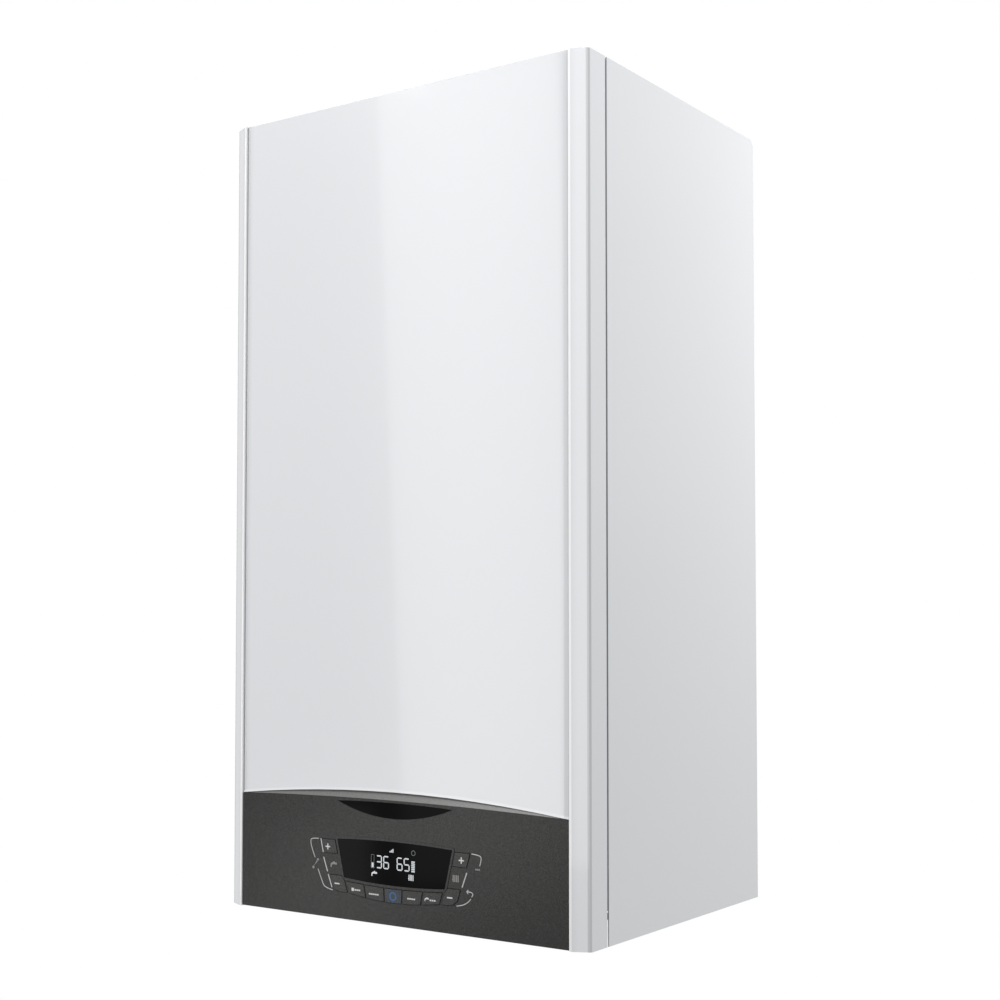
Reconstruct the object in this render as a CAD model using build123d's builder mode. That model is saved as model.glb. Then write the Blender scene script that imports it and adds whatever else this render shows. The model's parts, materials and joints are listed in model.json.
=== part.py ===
from build123d import *
import math
import os

os.makedirs("parts", exist_ok=True)

# Wall-hung combination boiler, millimetres. X to the right seen from the room, Z up, the wall is
# the plane y = 0 and the room lies towards -Y. The origin is midway between the two hanging slots.

# Case
case_w = 400.0
case_h = 745.0
case_d = 319.0
hang_drop = 45.0             # hanging slots below the top of the case
sheet = 1.0                  # case sheet steel
frame_t = 1.2                # chassis sheet steel
run_gap = 0.4                # between pieces that move past each other
seat_gap = 0.3               # between pieces that only come close
turn_fit = 0.06              # round a pin or spindle that turns
slide_fit = 0.08             # round a stud

# Front casing
lip_proud = 1.2              # the strips' inner lip stands proud of the front panel
strip_w = 17.4
strip_slope = 7.7
groove_w = 1.0
groove_deep = 3.0
casing_return = 32.4         # from the lip back to the casing's rear edge
seam = 2.5                   # dark joint between the casing and the side panels
casing_flange = 11.0         # rear edge turned inwards

# Control fascia, heights above the bottom of the case
arch_apex = 117.4
arch_r = 1528.0
bevel_drop = 7.5             # crescent bevel under the arch at mid width
bevel_deep = 3.5
fascia_gap = 0.6
fascia_wall = 2.5
hinge_h = 10.0
hinge_back = 19.0            # hinge axis behind the front of the lip
hinge_pin_r = 3.0
hinge_inset = 39.5           # hinge arms, from the side of the case

# Inside
works_room = 196.6           # between the cross rails and the casing's rear edge
tray_h = 22.0                # underside of the bottom plate, pipe tails end below it
tail_pitch = 66.5            # pipe tails, side to side
tail_d = 130.0               # pipe tails from the wall
flue_d = 160.0               # flue axis from the wall
exch_h = 468.0               # heat exchanger axis
exch_side = 39.0             # left of the heat exchanger, to the case sheet
fan_inset = 72.0             # fan axis, from the side of the case
fan_reach = 68.0             # from the fan axis to the heat exchanger, past the fan's outlet
fan_back = 60.0              # fan axis in front of the cross rails

half_w = case_w / 2
z_bot = hang_drop - case_h
strip_in = half_w - strip_w
panel_d = case_d - lip_proud
casing_rear_d = case_d - casing_return
side_front_d = casing_rear_d - seam
inner_w = half_w - sheet
hinge_d = case_d - hinge_back
hinge_x = half_w - hinge_inset
tray_top = tray_h + frame_t
rail_d = casing_rear_d - works_room
fan_x = half_w - fan_inset
fan_d = rail_d + fan_back
exch_left = exch_side - inner_w
exch_right = fan_x - fan_reach
exch_x = (exch_left + exch_right) / 2
exch_r = (exch_right - exch_left) / 2


def facing(depth):
    # sketch plane seen from the room: x to the right, y up from the bottom of the case
    return Plane(origin=(0, -depth, z_bot), x_dir=(1, 0, 0), z_dir=(0, -1, 0))


def level(height):
    # sketch plane seen from above: x to the right, y is minus the depth from the wall
    return Plane.XY.offset(z_bot + height)


def side(x):
    # sketch plane seen from the right: x is the depth from the wall, y up, extrudes to the left
    return Plane(origin=(x, 0, z_bot), x_dir=(0, -1, 0), z_dir=(-1, 0, 0))


def spot(x, depth, height):
    # a point of the model from its distance to the wall and to the bottom of the case
    return (x, -depth, z_bot + height)


def save(part, name):
    part.label = name
    export_step(part, f"parts/{name}.step")
    print(name, len(part.solids()), round(part.volume))


def tail(index, top):
    # threaded tail through the bottom plate: thread, then a slimmer neck inside the lock nut
    thread_r = tail_rs[index]
    with BuildPart() as post:
        for low, high, radius in ((tail_low, thread_top, thread_r), (thread_top, top, thread_r - neck)):
            with BuildSketch(level(low)):
                with Locations((tail_xs[index], -tail_d)):
                    Circle(radius)
            extrude(amount=high - low)
    return post.part


def tail_bore(index, bore_r):
    # the way through a tail, up into the block or pipe above it
    with BuildPart() as way:
        with BuildSketch(level(tail_low)):
            with Locations((tail_xs[index], -tail_d)):
                Circle(bore_r)
        extrude(amount=bore_reach)
    return way.part


def arch_at(x, apex=arch_apex, radius=arch_r):
    return apex - radius + math.sqrt(radius ** 2 - x ** 2)


# ---------------------------------------------------------------- chassis sheets

slot_l = 30.0
slot_r = 5.0
slot_pitch = 200.0
spacer_slot_h = 60.0
rail_w = 25.0
rail_x = inner_w - 39.0
rail_foot = 16.0
rail_heights = (exch_h - exch_r + rail_w + 1, exch_h + exch_r - rail_w - 1)
frame_flange = 24.0
corner_r = 8.0               # rounded top rear corner of the case

frame_h = case_h - corner_r

with BuildPart() as rear_frame:
    with BuildSketch(facing(0)):
        with Locations((0, frame_h / 2)):
            Rectangle(2 * inner_w, frame_h)
        for slot_side in (-1, 1):
            for slot_h in (case_h - hang_drop, spacer_slot_h):
                with Locations((slot_side * slot_pitch / 2, slot_h)):
                    SlotOverall(slot_l, 2 * slot_r, mode=Mode.SUBTRACT)
    extrude(amount=frame_t)
    for frame_side in (-1, 1):
        with BuildSketch(facing(frame_t)):
            with Locations((frame_side * (inner_w - frame_t / 2), frame_h / 2)):
                Rectangle(frame_t, frame_h)
        extrude(amount=frame_flange - frame_t)
    # two pressed cross rails bridge the expansion vessel and carry the heat exchanger
    for rail_h in rail_heights:
        with BuildSketch(level(rail_h - rail_w / 2)):
            with BuildLine():
                Polyline(
                    (-rail_x - rail_foot, -frame_t), (-rail_x, -frame_t), (-rail_x, -rail_d),
                    (rail_x, -rail_d), (rail_x, -frame_t), (rail_x + rail_foot, -frame_t),
                    (rail_x + rail_foot, -2 * frame_t), (rail_x + frame_t, -2 * frame_t),
                    (rail_x + frame_t, -rail_d - frame_t), (-rail_x - frame_t, -rail_d - frame_t),
                    (-rail_x - frame_t, -2 * frame_t), (-rail_x - rail_foot, -2 * frame_t),
                    close=True,
                )
            make_face()
        extrude(amount=rail_w)
save(rear_frame.part, "rear_frame")

panel_flange = 12.0
panel_foot_h = tray_top + 6  # flanges stop above the bottom ears


def side_panel(hand):
    # main sheet and a front flange turned inwards, behind the casing gasket
    with BuildPart() as panel:
        with BuildSketch(side(half_w if hand > 0 else -inner_w)):
            with Locations((side_front_d / 2, case_h / 2)):
                Rectangle(side_front_d, case_h)
        extrude(amount=sheet)
        fillet(panel.edges().filter_by(Axis.X).group_by(Axis.Y)[-1].sort_by(Axis.Z)[-1], corner_r)
        with BuildSketch(facing(side_front_d - sheet)):
            with Locations((hand * (inner_w - panel_flange / 2), (panel_foot_h + case_h - sheet) / 2)):
                Rectangle(panel_flange, case_h - sheet - panel_foot_h)
        extrude(amount=sheet)
    return panel.part


save(side_panel(-1), "left_side_panel")
save(side_panel(1), "right_side_panel")

top_flange = 22.0
flue_hole_r = 53.0
stud_x = half_w - 50.0
stud_drop = 16.0
stud_r = 3.0
stud_len = 16.0

with BuildPart() as top_panel:
    with BuildSketch(level(case_h - sheet)):
        with Locations((0, -(corner_r + side_front_d) / 2)):
            Rectangle(2 * inner_w, side_front_d - corner_r)
        with Locations((0, -flue_d)):
            Circle(flue_hole_r, mode=Mode.SUBTRACT)
    extrude(amount=sheet)
    # the rear edge rolls down onto the back sheet
    with BuildSketch(side(inner_w)):
        with Locations((corner_r, frame_h)):
            Circle(corner_r)
            Circle(corner_r - sheet, mode=Mode.SUBTRACT)
        with Locations((corner_r / 2, frame_h + corner_r / 2)):
            Rectangle(corner_r, corner_r, mode=Mode.INTERSECT)
    extrude(amount=2 * inner_w)
    with BuildSketch(facing(side_front_d - sheet)):
        with Locations((0, case_h - sheet - top_flange / 2)):
            Rectangle(2 * (inner_w - panel_flange - seat_gap), top_flange)
    extrude(amount=sheet)
    # locating studs that the casing hangs on
    for stud_side in (-1, 1):
        with BuildSketch(facing(side_front_d)):
            with Locations((stud_side * stud_x, case_h - sheet - stud_drop)):
                Circle(stud_r)
        extrude(amount=stud_len)
        chamfer(top_panel.faces().sort_by(Axis.Y)[0].edges(), 1.2)
save(top_panel.part, "top_panel")

# the bottom plate: pipe holes, ears under the casing and arms for the control panel's hinge
tray_front_d = casing_rear_d - 46.6
tray_lip = 16.0
tail_hole_r = 14.2           # holes of the bottom plate
thread_big_r = 13.2          # 3/4 inch tails: heating flow and return, gas
thread_small_r = 10.5        # 1/2 inch tails: hot and cold tap water
neck = 0.4                   # tails are a little slimmer inside the lock nut
tail_low = 1.0
bore_reach = 36.0
lock_nut_h = 6.0
ear_w = 13.0
screw_x = half_w - 8.5
screw_d = case_d - 22.0
ear_front_d = screw_d + 5.0
screw_r = 2.0
arm_t = 2.0
arm_r = 5.0
gland_x = 33.0
gland_d = 60.0
gland_r = 8.0
drain_x = -22.0
drain_d = tray_front_d - 35.0
drain_r = 10.0
fill_x = 100.0
fill_r = 7.0

tail_xs = [tail_pitch * i for i in (-2, -1, 0, 1, 2)]
tail_rs = [thread_big_r, thread_small_r, thread_big_r, thread_small_r, thread_big_r]
thread_top = tray_h - lock_nut_h
ear_in_x = inner_w - seat_gap - ear_w

with BuildPart() as bottom_plate:
    with BuildSketch(level(tray_h)):
        with Locations((0, -(frame_t + tray_front_d) / 2)):
            Rectangle(2 * (inner_w - frame_t), tray_front_d - frame_t)
        for ear_side in (-1, 1):
            with Locations((ear_side * (ear_in_x + ear_w / 2), -(tray_front_d + ear_front_d) / 2 + 10)):
                Rectangle(ear_w, ear_front_d - tray_front_d + 20)
            # fork open to the front, so that the loosened screw can leave with the casing
            with Locations((ear_side * screw_x, -(screw_d + ear_front_d + 10) / 2)):
                Rectangle(2 * (screw_r + run_gap), ear_front_d + 10 - screw_d, mode=Mode.SUBTRACT)
            with Locations((ear_side * screw_x, -screw_d)):
                Circle(screw_r + run_gap, mode=Mode.SUBTRACT)
        for tail_x in tail_xs:
            with Locations((tail_x, -tail_d)):
                Circle(tail_hole_r, mode=Mode.SUBTRACT)
        with Locations((gland_x, -gland_d)):
            Circle(gland_r, mode=Mode.SUBTRACT)
        with Locations((drain_x, -drain_d)):
            Circle(drain_r, mode=Mode.SUBTRACT)
        with Locations((fill_x, -tail_d)):
            Circle(fill_r + seat_gap, mode=Mode.SUBTRACT)
    extrude(amount=frame_t)
    for wall_side in (-1, 1):
        with BuildSketch(side(wall_side * (inner_w - frame_t) + (frame_t if wall_side > 0 else 0))):
            with Locations(((frame_flange + tray_front_d) / 2, tray_h + tray_lip / 2)):
                Rectangle(tray_front_d - frame_flange, tray_lip)
        extrude(amount=frame_t)
        # hinge arm: a vertical lug out to the hinge axis
        with BuildSketch(side(wall_side * hinge_x + arm_t / 2)):
            with BuildLine():
                FilletPolyline(
                    (tray_front_d - 40, tray_h), (tray_front_d - 40, tray_top + 12),
                    (tray_front_d - 8, tray_top + 12), (tray_front_d + 4, hinge_h + arm_r),
                    (hinge_d, hinge_h + arm_r), (hinge_d, hinge_h - arm_r),
                    (tray_front_d - 4, hinge_h - arm_r), (tray_front_d - 18, tray_h),
                    radius=0.4, close=True,
                )
            make_face()
            with Locations((hinge_d, hinge_h)):
                Circle(arm_r)
                Circle(hinge_pin_r + turn_fit, mode=Mode.SUBTRACT)
        extrude(amount=arm_t)
save(bottom_plate.part, "bottom_plate")

# ---------------------------------------------------------------- front casing

skin = 1.2                   # casing wall
groove_out = strip_in - groove_w
roll = 4.0                   # the panel's edge rolls back towards the groove
roll_deep = 1.2
lip_x = strip_in + 1.1       # crest of the lip
strip_out_d = case_d - strip_slope
arch_flange = 8.0
foot_front_d = screw_d + 12.0
hanger_w = 30.0
hanger_h = 24.0

arch_c = (0, arch_apex - arch_r)
casing_foot_h = tray_h - 1.5 # top of the flange at the foot of each strip


def casing_outline(hand):
    # half of the casing in plan, from the middle to the rear edge
    return [
        (0, -panel_d), (hand * (groove_out - roll), -panel_d),
        (hand * groove_out, -panel_d + roll_deep), (hand * groove_out, -panel_d + groove_deep),
        (hand * strip_in, -panel_d + groove_deep), (hand * strip_in, -case_d + 0.7),
        (hand * (strip_in + 0.5), -case_d + 0.12), (hand * lip_x, -case_d),
        (hand * (half_w - 1.6), -strip_out_d - 0.7), (hand * half_w, -strip_out_d + 1.2),
        (hand * half_w, -casing_rear_d),
    ]


def casing_hollow(hand):
    back_d = panel_d - groove_deep - skin
    return [
        (0, -panel_d + skin), (hand * (groove_out - skin), -panel_d + skin),
        (hand * (groove_out - skin), -back_d), (hand * (strip_in + skin), -back_d),
        (hand * (strip_in + skin), -panel_d + skin), (hand * (half_w - skin), -strip_out_d + skin),
        (hand * (half_w - skin), -casing_rear_d),
    ]


def both_halves(half_outline):
    return half_outline(-1)[::-1] + half_outline(1)[1:]


with BuildPart() as front_panel:
    with BuildSketch(level(0)):
        with BuildLine():
            Polyline(both_halves(casing_outline), close=True)
        make_face()
        with BuildLine():
            Polyline(both_halves(casing_hollow), close=True)
        make_face(mode=Mode.SUBTRACT)
    extrude(amount=case_h)
    # closed top
    with BuildSketch(level(case_h - skin)):
        with BuildLine():
            Polyline(both_halves(casing_outline), close=True)
        make_face()
    extrude(amount=skin)
    # rear edge turned inwards at both sides and along the top
    with BuildSketch(facing(casing_rear_d)):
        for edge_side in (-1, 1):
            with Locations((edge_side * (half_w - casing_flange / 2), (panel_foot_h + case_h) / 2)):
                Rectangle(casing_flange, case_h - panel_foot_h)
        with Locations((0, case_h - casing_flange / 2)):
            Rectangle(2 * half_w - 2, casing_flange)
    extrude(amount=skin)
    # opening for the control fascia, its top an arch with a flange turned inwards
    with BuildSketch(facing(casing_rear_d + skin)):
        with Locations(arch_c):
            Circle(arch_r)
        with Locations((0, arch_apex / 2)):
            Rectangle(2 * strip_in, arch_apex + 2, mode=Mode.INTERSECT)
    extrude(amount=casing_return, mode=Mode.SUBTRACT)
    with BuildSketch(facing(panel_d - arch_flange)):
        with Locations(arch_c):
            Circle(arch_r + skin)
            Circle(arch_r, mode=Mode.SUBTRACT)
        with Locations((0, arch_apex)):
            Rectangle(2 * (strip_in + skin), 40, mode=Mode.INTERSECT)
    extrude(amount=arch_flange - skin / 2)
    # the inner walls of the strips beside the fascia
    for strip_side in (-1, 1):
        with BuildSketch(facing(hinge_d)):
            with Locations((strip_side * (strip_in + skin / 2), arch_at(strip_in) / 2)):
                Rectangle(skin, arch_at(strip_in))
        extrude(amount=panel_d - groove_deep - hinge_d)
        # foot of the strip with the screw hole
        with BuildSketch(level(casing_foot_h - skin)):
            with Locations((strip_side * (strip_in + half_w) / 2, -(casing_rear_d + foot_front_d) / 2)):
                Rectangle(strip_w - skin / 2, foot_front_d - casing_rear_d)
            with Locations((strip_side * screw_x, -screw_d)):
                Circle(screw_r + seat_gap, mode=Mode.SUBTRACT)
        extrude(amount=skin)
        # hanger that drops over the locating stud
        with BuildSketch(facing(side_front_d + 8)):
            with Locations((strip_side * stud_x, case_h - sheet - hanger_h / 2)):
                Rectangle(hanger_w, hanger_h)
            with Locations((strip_side * stud_x, case_h - sheet - stud_drop)):
                Circle(stud_r + slide_fit, mode=Mode.SUBTRACT)
        extrude(amount=skin)
    casing_top = front_panel.edges().filter_by(Axis.X).group_by(Axis.Z)[-1].sort_by(Axis.Y)[0]
    fillet(casing_top, skin * 0.9)
save(front_panel.part, "front_panel")

gasket_w = 8.0
gasket_half = half_w - 3.0
gasket_top_h = case_h - 2.0

with BuildPart() as casing_gasket:
    with BuildSketch(facing(side_front_d)):
        with Locations((0, panel_foot_h)):
            Rectangle(2 * gasket_half, gasket_top_h - panel_foot_h, align=(Align.CENTER, Align.MIN))
            Rectangle(2 * (gasket_half - gasket_w), gasket_top_h - gasket_w - panel_foot_h,
                      align=(Align.CENTER, Align.MIN), mode=Mode.SUBTRACT)
    extrude(amount=seam)
save(casing_gasket.part, "casing_gasket")

screw_head_r = 4.2
screw_head_h = 3.0
screw_socket_r = 2.0
screw_socket_deep = 1.8
clip_r = 3.6                 # nut clipped on the ear
clip_t = 3.0
screw_end_h = tray_top + 7.0

with BuildPart() as casing_screws:
    for head_side in (-1, 1):
        with BuildSketch(level(casing_foot_h - skin - screw_head_h)):
            with Locations((head_side * screw_x, -screw_d)):
                Circle(screw_head_r)
        extrude(amount=screw_head_h)
        with BuildSketch(level(casing_foot_h - skin)):
            with Locations((head_side * screw_x, -screw_d)):
                Circle(screw_r)
        extrude(amount=screw_end_h - casing_foot_h + skin)
        with BuildSketch(level(tray_top + seat_gap)):
            with Locations((head_side * screw_x, -screw_d)):
                RegularPolygon(clip_r, 6)
        extrude(amount=clip_t)
        with BuildSketch(level(casing_foot_h - skin - screw_head_h)):
            with Locations((head_side * screw_x, -screw_d)):
                RegularPolygon(screw_socket_r, 6)
        extrude(amount=screw_socket_deep, mode=Mode.SUBTRACT)
save(casing_screws.part, "casing_screws")

# ---------------------------------------------------------------- control panel

fascia_half = strip_in - fascia_gap
fascia_r = arch_r - fascia_gap
bevel_apex = arch_apex - bevel_drop
bevel_sag = bevel_apex - arch_at(fascia_half) + 0.3
bevel_r = (fascia_half ** 2 + bevel_sag ** 2) / (2 * bevel_sag)
inner_face_d = panel_d - fascia_wall
rim_front_d = hinge_d + 6.0  # the bottom rim stops ahead of the hinge arms

# display window, its corners and the middles of its arched edges
win_top = (64.5, 72.0)
win_top_mid = 74.0
win_low = (56.5, 38.0)
win_low_mid = 35.5
window_t = 2.4
window_proud = 0.2
window_seat = 5.0            # width of the ledge that the window is glued to
bezel_w = 2.0
bezel_proud = 0.5

# badge lens
lens_tip = (64.5, 106.4)
lens_top = 108.0
lens_low = 94.0
lens_t = 1.5

# keys
key_gap = 0.35               # around each cap in its opening
key_web = 0.7                # fascia left between two openings
key_proud = 0.7
key_deep = 4.4
key_travel = 1.0
stem_r = 1.8
row_bounds = [-52.2, -31.7, -10.0, 10.0, 31.7, 52.2]
row_mid_h = 27.0
row_flare = 0.0063           # the row's dividing lines lean outwards
row_top = 33.0
row_top_r = 640.0
row_low = 20.0
row_low_r = 314.0
plus_low = 58.0
plus_high = 71.0
minus_high = 39.5
minus_foot = (65.5, 25.2)     # the minus keys' rounded outer corner
minus_toe_x = 59.0
col_out_low = (70.3, 29.0)
col_out_high = (83.7, 70.8)

# boards and box
board_d = inner_face_d - 12.3
board_t = 1.6
board_w = 180.0
board_low = 13.0
board_high = 85.0
lcd_w = 96.0
lcd_h = 25.0
boss_r = 3.4
board_boss = (86.0, 17.5, 80.5)
switch_size = 6.0
switch_t = 1.4
switch_front_d = board_d + board_t + switch_t
box_back_d = hinge_d - 48.0
box_half = fascia_half - 32.0
box_low = 4.0
box_high = 93.0
box_wall = 2.5
post_r = 4.5
post_inset = 6.5
lug_t = 3.2
lug_gap = 0.6
pin_head_t = 1.5


def col_in(h):
    # inner edge of the key columns, along the slanted side of the display's bezel
    slant = (win_top[0] - win_low[0]) / (win_top[1] - win_low[1])
    return win_low[0] + (h - win_low[1]) * slant + bezel_w + key_web


def col_out(h):
    # outer edge of the key columns
    slant = (col_out_high[0] - col_out_low[0]) / (col_out_high[1] - col_out_low[1])
    return col_out_low[0] + (h - col_out_low[1]) * slant


def row_point(bound, edge):
    # where a dividing line of the bottom row meets the row's upper or lower arc
    base, radius = (row_top, row_top_r) if edge == "top" else (row_low, row_low_r)
    h = base + bound ** 2 / (2 * radius)
    return (bound * (1 + (h - row_mid_h) * row_flare), h)


def plus_outline(hand):
    return [
        (hand * col_in(plus_high), plus_high), (hand * col_out(plus_high), plus_high),
        (hand * col_out(plus_low), plus_low), (hand * col_in(plus_low), plus_low),
    ]


def minus_outline(hand):
    low_in = row_point(row_bounds[-1] + key_web, "low")
    top_in = row_point(row_bounds[-1] + key_web, "top")
    return [
        (hand * col_in(minus_high), minus_high), (hand * col_out(minus_high), minus_high),
        (hand * col_out_low[0], col_out_low[1]), (hand * minus_foot[0], minus_foot[1]),
        (hand * minus_toe_x, low_in[1] - 0.4), (hand * low_in[0], low_in[1]),
        (hand * top_in[0], top_in[1]),
    ]


def row_outline(index):
    left = row_bounds[index] + key_web / 2
    right = row_bounds[index + 1] - key_web / 2
    middle = (left + right) / 2
    return [row_point(bound, "top") for bound in (left, middle, right)] + [
        row_point(bound, "low") for bound in (right, middle, left)]


def lens_face():
    with BuildSketch() as shape:
        with BuildLine():
            ThreePointArc((-lens_tip[0], lens_tip[1]), (0, lens_top), lens_tip)
            ThreePointArc(lens_tip, (0, lens_low), (-lens_tip[0], lens_tip[1]))
        make_face()
    return shape.sketch


def window_outline():
    with BuildLine() as line:
        ThreePointArc((-win_top[0], win_top[1]), (0, win_top_mid), win_top)
        Line(win_top, win_low)
        ThreePointArc(win_low, (0, win_low_mid), (-win_low[0], win_low[1]))
        Line((-win_low[0], win_low[1]), (-win_top[0], win_top[1]))
    return line.line


def cell(points, inset=0.0, round_r=1.0):
    # closed flat shape through the corner points, drawn in a little and rounded at its corners
    with BuildSketch() as shape:
        with BuildLine():
            Polyline(points, close=True)
        make_face()
        if inset:
            offset(amount=-inset, kind=Kind.INTERSECTION)
        corners = [v for v in shape.vertices() if sharp_corner(v, points, inset)]
        fillet(corners, round_r)
    return shape.sketch


def sharp_corner(vertex, points, inset):
    # true where the outline turns by more than a third of a right angle
    n = len(points)
    i = min(range(n), key=lambda k: math.dist((vertex.X, vertex.Y), points[k]))
    ax, ay = points[i - 1]
    bx, by = points[i]
    cx, cy = points[(i + 1) % n]
    turn = math.atan2(cy - by, cx - bx) - math.atan2(by - ay, bx - ax)
    return abs((turn + math.pi) % (2 * math.pi) - math.pi) > math.radians(30)


key_outlines = {
    "left_plus_key": plus_outline(-1), "left_minus_key": minus_outline(-1),
    "right_plus_key": plus_outline(1), "right_minus_key": minus_outline(1),
    "mode_key": row_outline(0), "menu_key": row_outline(1), "power_key": row_outline(2),
    "info_key": row_outline(3), "reset_key": row_outline(4),
}


def key_middle(points):
    xs = [p[0] for p in points]
    hs = [p[1] for p in points]
    return ((min(xs) + max(xs)) / 2, (min(hs) + max(hs)) / 2)


with BuildPart() as control_fascia:
    with BuildSketch(facing(hinge_d)):
        with Locations(arch_c):
            Circle(fascia_r)
        with Locations((0, arch_apex / 2 + fascia_gap)):
            Rectangle(2 * fascia_half, arch_apex, mode=Mode.INTERSECT)
    extrude(amount=panel_d - hinge_d)
    # crescent bevel that falls back towards the arch
    with BuildSketch(facing(panel_d)):
        with Locations((0, arch_at(fascia_half) - bevel_drop)):
            Rectangle(2 * half_w, 2 * arch_apex, align=(Align.CENTER, Align.MIN))
        with Locations((0, bevel_apex - bevel_r)):
            Circle(bevel_r, mode=Mode.SUBTRACT)
    extrude(amount=3 * bevel_drop, dir=(0, bevel_deep, bevel_drop), mode=Mode.SUBTRACT)
    # hollow back
    with BuildSketch(facing(hinge_d)):
        with Locations(arch_c):
            Circle(fascia_r - fascia_wall - bevel_deep)
        with Locations((0, arch_apex / 2 + fascia_gap + fascia_wall)):
            Rectangle(2 * (fascia_half - fascia_wall), arch_apex, mode=Mode.INTERSECT)
    extrude(amount=inner_face_d - hinge_d, mode=Mode.SUBTRACT)
    with BuildSketch(facing(hinge_d)):
        with Locations((0, hinge_h)):
            Rectangle(2 * (fascia_half - fascia_wall), 2 * hinge_h)
    extrude(amount=rim_front_d - hinge_d, mode=Mode.SUBTRACT)
    # bezel round the display, with the window's seat
    with BuildSketch(facing(panel_d)):
        add(make_face(window_outline(), mode=Mode.PRIVATE))
        offset(amount=bezel_w, kind=Kind.ARC)
        add(make_face(window_outline(), mode=Mode.PRIVATE), mode=Mode.SUBTRACT)
    extrude(amount=bezel_proud)
    with BuildSketch(facing(panel_d)):
        add(make_face(window_outline(), mode=Mode.PRIVATE))
    extrude(amount=-(window_t - window_proud), mode=Mode.SUBTRACT)
    with BuildSketch(facing(panel_d)):
        add(make_face(window_outline(), mode=Mode.PRIVATE))
        offset(amount=-window_seat)
    extrude(amount=-fascia_wall - 1, mode=Mode.SUBTRACT)
    # seat of the badge lens
    with BuildSketch(facing(panel_d)):
        add(lens_face())
    extrude(amount=-lens_t, mode=Mode.SUBTRACT)
    # key openings
    for outline in key_outlines.values():
        with BuildSketch(facing(inner_face_d - 1)):
            add(cell(outline))
        extrude(amount=fascia_wall + 2, mode=Mode.SUBTRACT)
    # bosses for the display board and the control box
    with BuildSketch(facing(board_d + board_t)):
        for boss_side in (-1, 1):
            for boss_h in board_boss[1:]:
                with Locations((boss_side * board_boss[0], boss_h)):
                    Circle(boss_r)
    extrude(amount=inner_face_d - board_d - board_t)
    with BuildSketch(facing(hinge_d)):
        for boss_side in (-1, 1):
            for boss_h in (box_low + post_inset, box_high - post_inset):
                with Locations((boss_side * (box_half - post_inset), boss_h)):
                    Circle(post_r)
    extrude(amount=inner_face_d - hinge_d)
    # hinge lugs either side of the chassis arms
    for lug_side in (-1, 1):
        for lug_x in (hinge_x - arm_t / 2 - lug_gap - lug_t / 2, hinge_x + arm_t / 2 + lug_gap + lug_t / 2):
            with BuildSketch(side(lug_side * lug_x + lug_t / 2)):
                with Locations((hinge_d, hinge_h)):
                    Circle(arm_r)
                with Locations((hinge_d, hinge_h)):
                    Rectangle(inner_face_d - hinge_d + fascia_wall / 2, 2 * arm_r,
                              align=(Align.MIN, Align.CENTER))
                with Locations((hinge_d, hinge_h)):
                    Circle(hinge_pin_r, mode=Mode.SUBTRACT)
            extrude(amount=lug_t)
save(control_fascia.part, "control_fascia")

with BuildPart() as display_window:
    with BuildSketch(facing(panel_d - window_t + window_proud)):
        add(make_face(window_outline(), mode=Mode.PRIVATE))
    extrude(amount=window_t)
    chamfer(display_window.faces().sort_by(Axis.Y)[0].edges(), 0.2)
save(display_window.part, "display_window")

with BuildPart() as badge_lens:
    with BuildSketch(facing(panel_d - lens_t)):
        add(lens_face())
    extrude(amount=lens_t + window_proud)
save(badge_lens.part, "badge_lens")


def key(points):
    # a cap that stands slightly proud, and a stem towards its switch on the display board
    with BuildPart() as cap:
        with BuildSketch(facing(panel_d + key_proud - key_deep)):
            add(cell(points, key_gap, 0.8))
        extrude(amount=key_deep)
        chamfer(cap.faces().sort_by(Axis.Y)[0].edges(), 0.35)
        with BuildSketch(facing(panel_d + key_proud - key_deep)):
            with Locations(key_middle(points)):
                Circle(stem_r)
        extrude(amount=switch_front_d + key_travel + seat_gap - panel_d - key_proud + key_deep)
    return cap.part


for key_name, key_points in key_outlines.items():
    save(key(key_points), key_name)

with BuildPart() as lcd_module:
    with BuildSketch(facing(board_d)):
        with Locations((0, (board_low + board_high) / 2)):
            RectangleRounded(board_w, board_high - board_low, 3)
    extrude(amount=board_t)
    with BuildSketch(facing(board_d + board_t)):
        for key_points in key_outlines.values():
            with Locations(key_middle(key_points)):
                Rectangle(switch_size, switch_size)
    extrude(amount=switch_t)
    with BuildSketch(facing(board_d + board_t)):
        with Locations((0, (win_top[1] + win_low[1]) / 2)):
            Rectangle(lcd_w, lcd_h)
    extrude(amount=panel_d - window_t + window_proud - board_d - board_t)
save(lcd_module.part, "lcd_module")

standoff_r = 3.0
main_board_d = box_back_d + 6.0
main_board_half = box_half - 15.0
vent_l = 34.0

with BuildPart() as control_box:
    with BuildSketch(facing(box_back_d)):
        with Locations((0, (box_low + box_high) / 2)):
            RectangleRounded(2 * box_half, box_high - box_low, 4)
    extrude(amount=hinge_d - box_back_d)
    box_front = control_box.faces().sort_by(Axis.Y)[0]
    offset(amount=-box_wall, openings=box_front)
    with BuildSketch(facing(box_back_d + box_wall)):
        for post_side in (-1, 1):
            for post_h in (box_low + post_inset, box_high - post_inset):
                with Locations((post_side * (box_half - post_inset), post_h)):
                    Circle(post_r)
    extrude(amount=hinge_d - box_back_d - box_wall)
    with BuildSketch(facing(box_back_d + box_wall)):
        for post_x in (-main_board_half + 12, 0, main_board_half - 12):
            for post_h in (box_low + 14, box_high - 14):
                with Locations((post_x, post_h)):
                    Circle(standoff_r)
    extrude(amount=main_board_d - box_back_d - box_wall)
    # ventilation slots in the back
    with BuildSketch(facing(box_back_d - 1)):
        with Locations((70, (box_low + box_high) / 2)):
            with GridLocations(9, 1, 8, 1):
                SlotOverall(vent_l, 4, rotation=90)
    extrude(amount=box_wall + 1.5, mode=Mode.SUBTRACT)
save(control_box.part, "control_box")

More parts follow.
